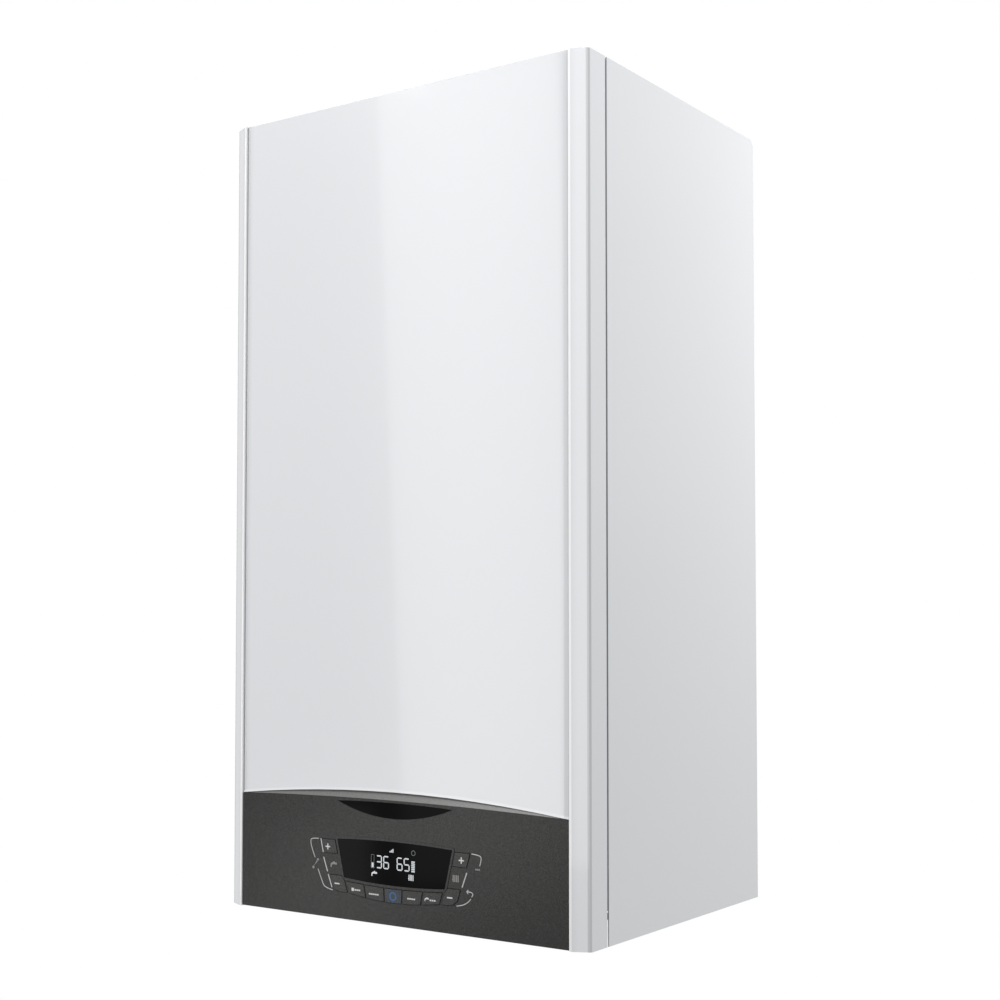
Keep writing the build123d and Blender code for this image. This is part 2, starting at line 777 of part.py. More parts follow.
# each block's x, height, width, height of the block, how far it stands out from the board
board_blocks = [
    (-main_board_half + 30, 60, 42, 34, 30), (-58, 66, 28, 22, 18), (-24, 66, 28, 22, 18),
    (12, 68, 18, 15, 15), (36, 68, 18, 15, 15), (60, 68, 18, 15, 15),
    (main_board_half - 31, 62, 34, 30, 8), (40, 38, 26, 26, 3),
]
connector_n = 7
connector_gap = 8.0
connector_pitch = (2 * main_board_half - 2 * connector_gap) / connector_n

with BuildPart() as main_board:
    with BuildSketch(facing(main_board_d)):
        with Locations((0, (box_low + box_high) / 2)):
            Rectangle(2 * main_board_half, box_high - box_low - 16)
    extrude(amount=board_t)
    for block_x, block_h, block_w, block_t, block_out in board_blocks:
        with BuildSketch(facing(main_board_d + board_t)):
            with Locations((block_x, block_h)):
                RectangleRounded(block_w, block_t, 1)
        extrude(amount=block_out)
    with BuildSketch(facing(main_board_d + board_t)):
        with Locations((0, 21)):
            with GridLocations(connector_pitch, 1, connector_n, 1):
                Rectangle(connector_pitch - connector_gap, 10)
    extrude(amount=14)
    with BuildSketch(facing(main_board_d + board_t)):
        with Locations((-20, 40)):
            with GridLocations(18, 1, 3, 1):
                Circle(6.5)
    extrude(amount=24)
save(main_board.part, "main_board")

with BuildPart() as hinge_pins:
    pin_in = hinge_x - arm_t / 2 - lug_gap - lug_t
    pin_out = hinge_x + arm_t / 2 + lug_gap + lug_t
    for pin_side in (-1, 1):
        with BuildSketch(side(pin_side * hinge_x)):
            with Locations((hinge_d, hinge_h)):
                Circle(hinge_pin_r)
        extrude(amount=(pin_out - pin_in) / 2 + 1, both=True)
        with BuildSketch(side(pin_side * (pin_out + pin_head_t / 2))):
            with Locations((hinge_d, hinge_h)):
                Circle(hinge_pin_r + 1.5)
        extrude(amount=pin_head_t / 2, both=True)
save(hinge_pins.part, "hinge_pins")

# ---------------------------------------------------------------- combustion side

exch_front_d = casing_rear_d - 36.6
exch_flange_t = 3.0          # against the cross rails
exch_flange_half = exch_r - 6.0
spigot_side = exch_r - 50.0  # flow and return spigots, from the exchanger's axis
spigot_drop = 12.0
spigot_d = 150.0
spigot_r = 13.0
trap_spigot_r = 9.0
exch_ribs = 4
rib_deep = 8.0
cell_wall = 8.0              # jacket and the wound tubes that line it
cell_back = 14.0             # rear wall with its insulating disc
door_r = exch_r - 14.0
door_t = 12.0
nut_n = 6
nut_ring_r = door_r - 10.0
electrode_x = door_r / 2      # either side of the door's middle
electrode_rise = 38.0
stud_proud = 6.0
manifold_r = 20.0
manifold_front_d = exch_front_d + 34.0
exhaust_r = 29.0
exhaust_wall = 1.5
exhaust_low_h = exch_h + exch_r + 4.0

exch_rear_d = rail_d + frame_t


def drum_h(offset_x):
    # height of the underside of the drum at a distance from its axis
    return exch_h - math.sqrt(exch_r ** 2 - offset_x ** 2)


with BuildPart() as heat_exchanger:
    # drum with shallow ribs, drawn as a half section and turned about its axis
    rib_pitch = (exch_front_d - exch_rear_d) / (exch_ribs + 1)
    with BuildSketch(Plane(origin=spot(exch_x, 0, exch_h), x_dir=(0, -1, 0), z_dir=(-1, 0, 0))):
        with BuildLine():
            profile = [(exch_rear_d, 0), (exch_rear_d, exch_r - rib_deep)]
            for rib in range(1, exch_ribs + 1):
                rib_d = exch_rear_d + rib * rib_pitch
                profile += [(rib_d - 7, exch_r - rib_deep / 2), (rib_d - 4, exch_r), (rib_d + 4, exch_r),
                            (rib_d + 7, exch_r - rib_deep / 2)]
            profile += [(exch_front_d, exch_r - rib_deep), (exch_front_d, 0)]
            Polyline(profile, close=True)
        make_face()
    revolve(axis=Axis(spot(exch_x, 0, exch_h), (0, -1, 0)))
    # square mounting flange against the cross rails
    with BuildSketch(facing(exch_rear_d)):
        with Locations((exch_x, exch_h)):
            RectangleRounded(2 * exch_flange_half, 2 * exch_flange_half, 22)
    extrude(amount=exch_flange_t)
    # flow and return spigots and the condensate outlet under the drum
    for spigot_x in (exch_x - spigot_side, exch_x + spigot_side):
        with BuildSketch(level(drum_h(spigot_side) - spigot_drop)):
            with Locations((spigot_x, -spigot_d)):
                Circle(spigot_r)
        extrude(amount=spigot_drop + 20)
    with BuildSketch(level(drum_h(0) - spigot_drop)):
        with Locations((exch_x, -drain_d)):
            Circle(trap_spigot_r)
    extrude(amount=spigot_drop + 10)
    # smoke outlet boss on top
    with BuildSketch(level(exch_h + exch_r - 30)):
        with Locations((exch_x, -flue_d)):
            Circle(exhaust_r + 5)
    extrude(amount=exhaust_low_h - exch_h - exch_r + 30)
    # the fire space, open towards the burner door, and the way out of the smoke
    with BuildSketch(facing(exch_rear_d + cell_back)):
        with Locations((exch_x, exch_h)):
            Circle(exch_r - rib_deep - cell_wall)
    extrude(amount=exch_front_d - exch_rear_d - cell_back, mode=Mode.SUBTRACT)
    with BuildSketch(level(exch_h + exch_r / 2)):
        with Locations((exch_x, -flue_d)):
            Circle(exhaust_r - exhaust_wall)
    extrude(amount=exhaust_low_h - exch_h - exch_r / 2, mode=Mode.SUBTRACT)
save(heat_exchanger.part, "heat_exchanger")

with BuildPart() as burner_door:
    with BuildSketch(Plane(origin=spot(exch_x, 0, exch_h), x_dir=(0, -1, 0), z_dir=(-1, 0, 0))):
        with BuildLine():
            Polyline(
                (exch_front_d, 0), (exch_front_d, door_r), (exch_front_d + 5, door_r),
                (exch_front_d + 5, door_r - 18), (exch_front_d + door_t, door_r - 30),
                (exch_front_d + door_t, 0), close=True,
            )
        make_face()
    revolve(axis=Axis(spot(exch_x, 0, exch_h), (0, -1, 0)))
    # bosses for the electrodes and the sight glass
    with BuildSketch(facing(exch_front_d + 4)):
        with Locations((exch_x, exch_h + electrode_rise)):
            with GridLocations(2 * electrode_x, 1, 2, 1):
                Circle(9)
        with Locations((exch_x, exch_h + door_r - 34)):
            Circle(9)
    extrude(amount=door_t - 1)
    # studs
    with BuildSketch(facing(exch_front_d + 4)):
        with Locations((exch_x, exch_h)):
            with PolarLocations(nut_ring_r, nut_n, 30):
                Circle(2.5)
    extrude(amount=stud_proud + 6)
    fillet(burner_door.edges().filter_by(GeomType.CIRCLE).sort_by(SortBy.RADIUS)[-1], 1)
save(burner_door.part, "burner_door")

with BuildPart() as burner_door_nuts:
    with BuildSketch(facing(exch_front_d + 5)):
        with Locations((exch_x, exch_h)):
            with PolarLocations(nut_ring_r, nut_n, 30):
                RegularPolygon(5, 6)
            with PolarLocations(nut_ring_r, nut_n, 30):
                Circle(2.52, mode=Mode.SUBTRACT)
    extrude(amount=4.5)
save(burner_door_nuts.part, "burner_door_nuts")


def electrode(x, tips):
    # ceramic rod through the door's boss, with its terminal outside
    with BuildPart() as rod:
        with BuildSketch(facing(exch_front_d + door_t + 3)):
            with Locations((x, exch_h + electrode_rise)):
                SlotOverall(26, 12)
        extrude(amount=2.5)
        with BuildSketch(facing(exch_front_d + door_t + 5.5)):
            with Locations(*[(x + dx, exch_h + electrode_rise) for dx in tips]):
                Circle(3.6)
        extrude(amount=13)
        chamfer(rod.faces().sort_by(Axis.Y)[0].edges(), 0.8)
        with BuildSketch(facing(exch_front_d + door_t + 18.5)):
            with Locations(*[(x + dx, exch_h + electrode_rise) for dx in tips]):
                Circle(1.2)
        extrude(amount=7)
    return rod.part


save(electrode(exch_x - electrode_x, (-5, 5)), "ignition_electrode")
save(electrode(exch_x + electrode_x, (0,)), "sensing_electrode")

# fan: volute round a wheel with curved blades, air and gas in from above, motor underneath
fan_h = exch_h
wheel_r = 42.0
wheel_h = 16.0
volute_wall = 2.5
volute_low = fan_h - 22.0
volute_high = fan_h + 22.0
volute_start = 47.0
volute_grow = 11.0           # growth of the spiral over one turn
eye_r = 22.0
eye_collar = 14.0
blade_n = 12
fan_out_x = fan_x - 40.0
fan_out_d = fan_d + 76.0
hub_r = 14.0
fan_shaft_r = 4.0
motor_r = 36.0
motor_h = 38.0
motor_shaft = 16.0


def spiral(start_r):
    # points of the volute's spiral, widest where it opens towards the burner
    count = 9
    turns = [math.radians(180 + 315 * i / (count - 1)) for i in range(count)]
    radii = [start_r + volute_grow * (i / (count - 1)) for i in range(count)]
    return [(fan_x + r * math.cos(a), -fan_d + r * math.sin(-a)) for a, r in zip(turns, radii)][::-1]


def volute_shape(start_r, duct_half):
    with BuildSketch() as shape:
        with BuildLine():
            points = spiral(start_r)
            Spline(points)
            Line(points[-1], points[0])
        make_face()
        with Locations((fan_x, -fan_d)):
            Circle(start_r)
        # tangential outlet duct towards the front
        with BuildLine():
            Polyline(
                (fan_out_x - duct_half, -fan_d), (fan_out_x - duct_half, -fan_out_d),
                (fan_out_x + duct_half, -fan_out_d), (fan_out_x + duct_half, -fan_d), close=True,
            )
        make_face()
    return shape.sketch


with BuildPart() as fan_housing:
    with BuildSketch(level(volute_low)):
        add(volute_shape(volute_start + volute_wall, manifold_r))
    extrude(amount=volute_high - volute_low)
    fillet(fan_housing.edges().filter_by(Axis.Z, reverse=True).group_by(Axis.Z)[-1], 2)
    with BuildSketch(level(volute_low + volute_wall)):
        add(volute_shape(volute_start, manifold_r - volute_wall))
    extrude(amount=volute_high - volute_low - 2 * volute_wall, mode=Mode.SUBTRACT)
    # inlet eye above and shaft hole below
    with BuildSketch(level(volute_high - volute_wall - 1)):
        with Locations((fan_x, -fan_d)):
            Circle(eye_r)
    extrude(amount=volute_wall + 2, mode=Mode.SUBTRACT)
    with BuildSketch(level(volute_low - 1)):
        with Locations((fan_x, -fan_d)):
            Circle(fan_shaft_r + 3)
    extrude(amount=volute_wall + 2, mode=Mode.SUBTRACT)
    # inlet collar that takes the mixer
    with BuildSketch(level(volute_high)):
        with Locations((fan_x, -fan_d)):
            Circle(eye_r + 3)
            Circle(eye_r, mode=Mode.SUBTRACT)
    extrude(amount=eye_collar)
    # outlet flange
    with BuildSketch(facing(fan_out_d - 4)):
        with Locations((fan_out_x, fan_h)):
            RectangleRounded(2 * manifold_r + 12, volute_high - volute_low + 4, 4)
            Rectangle(2 * (manifold_r - volute_wall), volute_high - volute_low - 2 * volute_wall,
                      mode=Mode.SUBTRACT)
    extrude(amount=4)
save(fan_housing.part, "fan_housing")

# one backward-curved blade, seen from above
with BuildSketch() as blade:
    with BuildLine():
        ThreePointArc((eye_r + 1, 0), (33, -6.5), (wheel_r - 4.5, -16))
    trace(line_width=1.2)

with BuildPart() as fan_impeller:
    wheel_low = fan_h - wheel_h / 2
    with BuildSketch(level(wheel_low)):
        with Locations((fan_x, -fan_d)):
            Circle(wheel_r)
    extrude(amount=1.5)
    with BuildSketch(level(wheel_low + wheel_h - 1.2)):
        with Locations((fan_x, -fan_d)):
            Circle(wheel_r)
            Circle(eye_r, mode=Mode.SUBTRACT)
    extrude(amount=1.2)
    # the blades between the two discs
    with BuildSketch(level(wheel_low + 1.5)):
        with Locations((fan_x, -fan_d)):
            with PolarLocations(0, blade_n):
                add(blade.sketch)
    extrude(amount=wheel_h - 2.7)
    with BuildSketch(level(wheel_low)):
        with Locations((fan_x, -fan_d)):
            Circle(hub_r)
    extrude(amount=wheel_h - 5)
    with BuildSketch(level(volute_low - motor_shaft)):
        with Locations((fan_x, -fan_d)):
            Circle(fan_shaft_r)
    extrude(amount=wheel_low + 4 - volute_low + motor_shaft)
save(fan_impeller.part, "fan_impeller")

with BuildPart() as fan_motor:
    with BuildSketch(level(volute_low - motor_h)):
        with Locations((fan_x, -fan_d)):
            Circle(motor_r)
    extrude(amount=motor_h)
    fillet(fan_motor.faces().sort_by(Axis.Z)[0].edges(), 5)
    # cooling grooves
    with BuildSketch(level(volute_low - motor_h + 8)):
        with Locations((fan_x, -fan_d)):
            with PolarLocations(motor_r, 16):
                Rectangle(6, 3.5)
    extrude(amount=motor_h - 14, mode=Mode.SUBTRACT)
    with BuildSketch(level(volute_low - motor_shaft - 1)):
        with Locations((fan_x, -fan_d)):
            Circle(fan_shaft_r + turn_fit)
    extrude(amount=motor_shaft + 2, mode=Mode.SUBTRACT)
    # plug for its cable
    with BuildSketch(level(volute_low - motor_h + 14)):
        with Locations((fan_x, -fan_d - motor_r)):
            RectangleRounded(22, 16, 2)
    extrude(amount=14)
save(fan_motor.part, "fan_motor")

with BuildPart() as mixer_manifold:
    # cast duct: from the fan's outlet to the front, across, and back into the burner door
    with BuildSketch(level(fan_h - manifold_r)):
        with Locations((fan_out_x, -fan_out_d)):
            Rectangle(
                2 * manifold_r, manifold_front_d + manifold_r - fan_out_d, align=(Align.CENTER, Align.MAX)
            )
        with Locations(((fan_out_x + exch_x) / 2, -manifold_front_d)):
            Rectangle(fan_out_x - exch_x + 2 * manifold_r, 2 * manifold_r)
        with Locations((exch_x, -exch_front_d - door_t)):
            Rectangle(
                2 * manifold_r, manifold_front_d - exch_front_d - door_t, align=(Align.CENTER, Align.MAX)
            )
    extrude(amount=2 * manifold_r)
    fillet(mixer_manifold.edges().filter_by(Axis.Z).group_by(Axis.Y)[0], manifold_r - 2)
    flat_edges = mixer_manifold.faces().filter_by(Axis.Z).edges()
    fillet(flat_edges.filter_by(lambda e: e.center().Y < -fan_out_d - 6), 7)
    with BuildSketch(facing(fan_out_d)):
        with Locations((fan_out_x, fan_h)):
            RectangleRounded(2 * manifold_r + 12, volute_high - volute_low + 4, 4)
    extrude(amount=4)
    with BuildSketch(facing(exch_front_d + door_t)):
        with Locations((exch_x, fan_h)):
            Circle(manifold_r + 9)
    extrude(amount=3)
save(mixer_manifold.part, "mixer_manifold")

# gas valve below the fan
valve_w = 62.0
valve_d = 78.0
valve_low = 330.0
valve_high = volute_low - motor_h - 8.0
gas_r = 8.0
feed_x = fan_x + 54.0
feed_d = fan_d - 46.0
feed_r = 4.0
mixer_r = 27.0
mixer_h = 26.0
mixer_low = volute_high + eye_collar
gas_bend_h = 226.0
gas_run_d = fan_d + 72.0

with BuildPart() as gas_valve:
    with BuildSketch(level(valve_low)):
        with Locations((fan_x, -fan_d)):
            RectangleRounded(valve_w, valve_d, 5)
    extrude(amount=valve_high - valve_low)
    # two solenoid coils and the pressure cap on the front
    for coil_h in (valve_low + 16, valve_low + 42):
        with BuildSketch(facing(fan_d + valve_d / 2)):
            with Locations((fan_x - 12, coil_h)):
                RectangleRounded(26, 22, 3)
        extrude(amount=24)
    with BuildSketch(facing(fan_d + valve_d / 2)):
        with Locations((fan_x + 18, valve_low + 30)):
            Circle(9)
    extrude(amount=12)
    # feed tube up to the mixer
    with BuildLine():
        FilletPolyline(
            spot(fan_x + valve_w / 2 - 4, fan_d - 30, valve_low + 30),
            spot(feed_x, feed_d, valve_low + 30), spot(feed_x, feed_d, mixer_low - 4),
            spot(feed_x, fan_d, mixer_low + 12), spot(fan_x + mixer_r - 2, fan_d, mixer_low + 12),
            radius=11,
        )
    with BuildSketch(Plane(origin=spot(fan_x + valve_w / 2 - 4, fan_d - 30, valve_low + 30),
                           z_dir=(feed_x - fan_x - valve_w / 2 + 4, fan_d - 30 - feed_d, 0))):
        Circle(feed_r)
    sweep()
save(gas_valve.part, "gas_valve")

union_r = 14.0
union_h = 16.0

with BuildPart() as gas_pipe:
    with BuildLine():
        FilletPolyline(
            spot(0, tail_d, tray_top), spot(0, tail_d, gas_bend_h - 40),
            spot(0, gas_run_d, gas_bend_h), spot(fan_x - 30, gas_run_d, gas_bend_h + 30),
            spot(fan_x, fan_d, gas_bend_h + 60), spot(fan_x, fan_d, valve_low),
            radius=18,
        )
    with BuildSketch(level(tray_top)):
        with Locations((0, -tail_d)):
            Circle(gas_r)
    sweep()
    with BuildSketch(level(valve_low - union_h)):
        with Locations((fan_x, -fan_d)):
            RegularPolygon(union_r, 6)
    extrude(amount=union_h)
    # threaded tail below the bottom plate
    add(tail(2, tray_top))
    with BuildSketch(level(tray_top)):
        with Locations((0, -tail_d)):
            RegularPolygon(17, 6)
    extrude(amount=14)
    add(tail_bore(2, gas_r - 2), mode=Mode.SUBTRACT)
save(gas_pipe.part, "gas_pipe")

# air silencer above the fan: its neck is the mixer on the fan's inlet collar
silencer_x = fan_x + 10.0
silencer_w = 80.0
silencer_d = 96.0
silencer_low = mixer_low + mixer_h
silencer_high = 684.0
silencer_wall = 2.5

with BuildPart() as air_silencer:
    with BuildSketch(level(silencer_low)):
        with Locations((silencer_x, -fan_d)):
            RectangleRounded(silencer_w, silencer_d, 12)
    extrude(amount=silencer_high - silencer_low)
    fillet(air_silencer.faces().sort_by(Axis.Z)[-1].edges(), 4)
    with BuildSketch(level(silencer_low + silencer_wall)):
        with Locations((silencer_x, -fan_d)):
            RectangleRounded(silencer_w - 2 * silencer_wall, silencer_d - 2 * silencer_wall, 10)
    extrude(amount=silencer_high - silencer_low - 2 * silencer_wall, mode=Mode.SUBTRACT)
    with BuildSketch(level(mixer_low)):
        with Locations((fan_x, -fan_d)):
            Circle(mixer_r)
    extrude(amount=mixer_h)
    with BuildSketch(level(mixer_low)):
        with Locations((fan_x, -fan_d)):
            Circle(eye_r - 2)
    extrude(amount=mixer_h + silencer_wall, mode=Mode.SUBTRACT)
    # seat for the gas feed tube
    with BuildSketch(side(fan_x + mixer_r + 6)):
        with Locations((fan_d, mixer_low + 12)):
            Circle(feed_r)
    extrude(amount=12, mode=Mode.SUBTRACT)
    # intake grille in the left wall
    with BuildSketch(side(silencer_x - silencer_w / 2 + silencer_wall + 1)):
        with Locations((fan_d, (silencer_low + silencer_high) / 2)):
            with GridLocations(1, 9, 1, 9):
                SlotOverall(60, 4)
    extrude(amount=silencer_wall + 2, mode=Mode.SUBTRACT)
save(air_silencer.part, "air_silencer")

collar_base_r = 70.0
test_cap_r = 4.5
collar_wall = 2.0
collar_h = 34.0
collar_low_h = case_h - 12.0
air_r = 50.3                 # takes the 100 mm air duct
smoke_r = 30.2               # takes the 60 mm smoke duct
smoke_stop = 2.0
seal_low_h = case_h + 22.0
seal_t = 5.0
seal_deep = 2.8

exhaust_top_h = case_h - smoke_stop

with BuildPart() as flue_collar:
    # base flange on the top panel and the outer socket, drawn as a half section
    with BuildSketch(Plane(origin=spot(0, flue_d, 0), x_dir=(1, 0, 0), z_dir=(0, -1, 0))):
        with BuildLine():
            Polyline(
                (air_r, case_h - 6), (air_r - 2, case_h - 6), (air_r - 2, collar_low_h),
                (air_r + collar_wall, collar_low_h), (air_r + collar_wall, case_h),
                (collar_base_r, case_h), (collar_base_r, case_h + 3), (air_r + collar_wall, case_h + 3),
                (air_r + collar_wall, case_h + collar_h), (air_r, case_h + collar_h), close=True,
            )
        make_face()
        # inner socket: a groove for the seal, and a stop between the flue and the exhaust pipe
        with BuildLine():
            Polyline(
                (exhaust_r + 0.1, collar_low_h - 4), (exhaust_r + 0.1, case_h - smoke_stop),
                (exhaust_r - exhaust_wall, case_h - smoke_stop), (exhaust_r - exhaust_wall, case_h),
                (smoke_r, case_h),
                (smoke_r, seal_low_h), (smoke_r + seal_deep, seal_low_h),
                (smoke_r + seal_deep, seal_low_h + seal_t), (smoke_r, seal_low_h + seal_t),
                (smoke_r, case_h + collar_h), (smoke_r + collar_wall, case_h + collar_h),
                (smoke_r + seal_deep + collar_wall, seal_low_h + seal_t + 3),
                (smoke_r + seal_deep + collar_wall, seal_low_h - 3),
                (smoke_r + collar_wall, seal_low_h - 6), (smoke_r + collar_wall, collar_low_h - 4),
                close=True,
            )
        make_face()
    revolve(axis=Axis(spot(0, flue_d, 0), (0, 0, 1)))
    # three fins hold the smoke socket in the middle
    with BuildSketch(level(collar_low_h)):
        with Locations((0, -flue_d)):
            with PolarLocations((air_r - 2 + smoke_r + collar_wall) / 2, 3, 90):
                Rectangle(air_r - smoke_r - collar_wall, 2)
    extrude(amount=6)
    # two capped test points
    with BuildSketch(level(case_h + 3)):
        with Locations((collar_base_r - test_cap_r - 1, -flue_d), (test_cap_r + 1 - collar_base_r, -flue_d)):
            Circle(test_cap_r)
    extrude(amount=9)
save(flue_collar.part, "flue_collar")

with BuildPart() as flue_seal:
    with BuildSketch(level(seal_low_h)):
        with Locations((0, -flue_d)):
            Circle(smoke_r + seal_deep)
            Circle(smoke_r + 0.05, mode=Mode.SUBTRACT)
    extrude(amount=seal_t)
save(flue_seal.part, "flue_seal")

with BuildPart() as exhaust_pipe:
    with BuildLine():
        FilletPolyline(
            spot(exch_x, flue_d, exhaust_low_h), spot(exch_x, flue_d, exhaust_low_h + 42),
            spot(0, flue_d, exhaust_top_h - 46), spot(0, flue_d, exhaust_top_h), radius=40,
        )
    with BuildSketch(level(exhaust_low_h)):
        with Locations((exch_x, -flue_d)):
            Circle(exhaust_r)
            Circle(exhaust_r - exhaust_wall, mode=Mode.SUBTRACT)
    sweep()
    with BuildSketch(level(exhaust_low_h)):
        with Locations((exch_x, -flue_d)):
            Circle(exhaust_r + 5)
            Circle(exhaust_r - exhaust_wall, mode=Mode.SUBTRACT)
    extrude(amount=16)
save(exhaust_pipe.part, "exhaust_pipe")

# ---------------------------------------------------------------- hydraulics

# flat expansion vessel between the back sheet and the cross rails
vessel_w = 2 * (rail_x - 15.0)
vessel_low = 262.0
vessel_high = 662.0
vessel_r = 58.0
vessel_seam = 4.0
vessel_taper = 16.0
expansion_r = 5.0

vessel_wall = 1.5
vessel_neck = 14.0           # water connection below the vessel

vessel_mid_d = (frame_t + rail_d) / 2


def vessel_shells(inset):
    # the two pressed halves either side of the seam, drawn in by the wall for the space inside
    width = vessel_w - 10 - 2 * inset
    height = vessel_high - vessel_low - 10 - 2 * inset
    with BuildPart() as shells:
        for shell_side in (-1, 1):
            with BuildSketch(facing(vessel_mid_d)):
                with Locations((0, (vessel_low + vessel_high) / 2)):
                    RectangleRounded(width, height, vessel_r - 5 - inset)
            extrude(amount=shell_side * (rail_d - vessel_mid_d - inset), taper=vessel_taper)
        crown = [shells.faces().sort_by(Axis.Y)[i] for i in (0, -1)]
        fillet(crown[0].edges() + crown[1].edges(), 9 - inset)
    return shells.part


with BuildPart() as expansion_vessel:
    with BuildSketch(facing(vessel_mid_d - vessel_seam / 2)):
        with Locations((0, (vessel_low + vessel_high) / 2)):
            RectangleRounded(vessel_w, vessel_high - vessel_low, vessel_r)
    extrude(amount=vessel_seam)
    add(vessel_shells(0))
    # water connection at the bottom
    with BuildSketch(level(vessel_low - vessel_neck)):
        with Locations((0, -vessel_mid_d)):
            Circle(9)
    extrude(amount=vessel_neck + 10)
    add(vessel_shells(vessel_wall), mode=Mode.SUBTRACT)
    with BuildSketch(level(vessel_low - vessel_neck)):
        with Locations((0, -vessel_mid_d)):
            Circle(expansion_r - 1)
    extrude(amount=vessel_neck + 20, mode=Mode.SUBTRACT)
save(expansion_vessel.part, "expansion_vessel")

# right-hand block: pump volute, manifold and the return tail
block_low = 60.0
block_high = 104.0
block_rear_d = 110.0
block_front_d = 152.0
pump_x = 112.0
pump_h = 152.0
pump_rear_d = 118.0
pump_front_d = 176.0
pump_r = 47.0
pump_wheel_r = 27.0
pump_wheel_t = 11.0
pump_cavity_r = pump_wheel_r + 3
pump_cavity_d = 150.0
pump_shaft_r = 4.0
return_x = exch_x + spigot_side
flow_x = exch_x - spigot_side
pipe_r = 11.0
pipe_nut_r = 16.5
pipe_nut_h = 16.0
return_up_x = 66.0
plate_port_x = 72.0
boss_low_r = 17.0

with BuildPart() as pump_housing:
    with BuildSketch(level(block_low)):
        with Locations(((plate_port_x - 14 + 2 * tail_pitch + 16) / 2, -(block_rear_d + block_front_d) / 2)):
            RectangleRounded(2 * tail_pitch + 30 - plate_port_x, block_front_d - block_rear_d, 8)
    extrude(amount=block_high - block_low)
    with BuildSketch(facing(pump_rear_d)):
        with Locations((pump_x, pump_h)):
            Circle(pump_r)
    extrude(amount=pump_front_d - pump_rear_d - 6)
    with BuildSketch(facing(pump_front_d - 6)):
        with Locations((pump_x, pump_h)):
            Circle(pump_r + 3)
            with PolarLocations(pump_r - 2, 4, 45):
                RectangleRounded(14, 14, 3)
    extrude(amount=6)
    # wheel chamber, open towards the motor
    with BuildSketch(facing(pump_cavity_d)):
        with Locations((pump_x, pump_h)):
            Circle(pump_cavity_r)
    extrude(amount=pump_front_d - pump_cavity_d, mode=Mode.SUBTRACT)
    # outlet branch up the left side and the air vent's seat
    with BuildSketch(level(pump_h)):
        with Locations((return_up_x, -spigot_d)):
            Circle(pipe_r + 5)
    extrude(amount=pump_r + 8)
    with BuildSketch(level(block_high - 6)):
        with Locations(((return_up_x + pump_x) / 2, -spigot_d + 12)):
            Rectangle(pump_x - return_up_x, 20)
    extrude(amount=pump_h - block_high + 20)
    with BuildSketch(level(pump_h)):
        with Locations((pump_x, -(pump_rear_d + 26))):
            Circle(13)
    extrude(amount=pump_r + 10)
    # return tail through the bottom plate, with a collar standing on the plate
    with BuildSketch(level(tray_top)):
        with Locations((tail_xs[4], -tail_d)):
            Circle(boss_low_r)
    extrude(amount=block_low - tray_top)
    add(tail(4, tray_top))
    add(tail_bore(4, thread_big_r - 3), mode=Mode.SUBTRACT)
    # wheel chamber again clear of the branches
    with BuildSketch(facing(pump_cavity_d)):
        with Locations((pump_x, pump_h)):
            Circle(pump_cavity_r)
    extrude(amount=pump_front_d - pump_cavity_d, mode=Mode.SUBTRACT)
save(pump_housing.part, "pump_housing")

pump_motor_r = 42.0
pump_motor_len = box_back_d - pump_front_d - 14.0
can_deep = pump_motor_len - 22.0

with BuildPart() as pump_motor:
    with BuildSketch(facing(pump_front_d)):
        with Locations((pump_x, pump_h)):
            Circle(pump_motor_r)
    extrude(amount=pump_motor_len)
    fillet(pump_motor.faces().sort_by(Axis.Y)[0].edges(), 4)
    # cooling fins
    with BuildSketch(facing(pump_front_d + 8)):
        with Locations((pump_x, pump_h)):
            with PolarLocations(pump_motor_r + 1, 24):
                Rectangle(8, 4)
    extrude(amount=pump_motor_len - 22, mode=Mode.SUBTRACT)
    # vent screw in the end and the terminal box beside it
    with BuildSketch(facing(pump_front_d + pump_motor_len)):
        with Locations((pump_x, pump_h)):
            Circle(9)
            Rectangle(12, 2, mode=Mode.SUBTRACT)
    extrude(amount=3)
    with BuildSketch(facing(pump_front_d + 6)):
        with Locations((pump_x + 14, pump_h + pump_motor_r + 4)):
            RectangleRounded(52, 22, 3)
    extrude(amount=pump_motor_len - 14)
    # bore for the shaft
    with BuildSketch(facing(pump_front_d - 1)):
        with Locations((pump_x, pump_h)):
            Circle(pump_shaft_r + turn_fit)
    extrude(amount=can_deep + 1, mode=Mode.SUBTRACT)
save(pump_motor.part, "pump_motor")

# one curved vane of the pump wheel
with BuildSketch() as vane:
    with BuildLine():
        ThreePointArc((9, 0), (17, -4), (pump_wheel_r - 3, -10))
    trace(line_width=1.6)

with BuildPart() as pump_rotor:
    wheel_rear_d = pump_cavity_d + 5
    with BuildSketch(facing(wheel_rear_d)):
        with Locations((pump_x, pump_h)):
            Circle(pump_wheel_r)
            Circle(9, mode=Mode.SUBTRACT)
    extrude(amount=1.5)
    with BuildSketch(facing(wheel_rear_d + 1.5)):
        with Locations((pump_x, pump_h)):
            with PolarLocations(0, 7):
                add(vane.sketch)
    extrude(amount=pump_wheel_t - 3)
    with BuildSketch(facing(wheel_rear_d + pump_wheel_t - 1.5)):
        with Locations((pump_x, pump_h)):
            Circle(pump_wheel_r)
    extrude(amount=2)
    with BuildSketch(facing(wheel_rear_d + pump_wheel_t - 1)):
        with Locations((pump_x, pump_h)):
            Circle(pump_shaft_r)
    extrude(amount=pump_front_d + can_deep - 2 - wheel_rear_d - pump_wheel_t + 1)
save(pump_rotor.part, "pump_rotor")

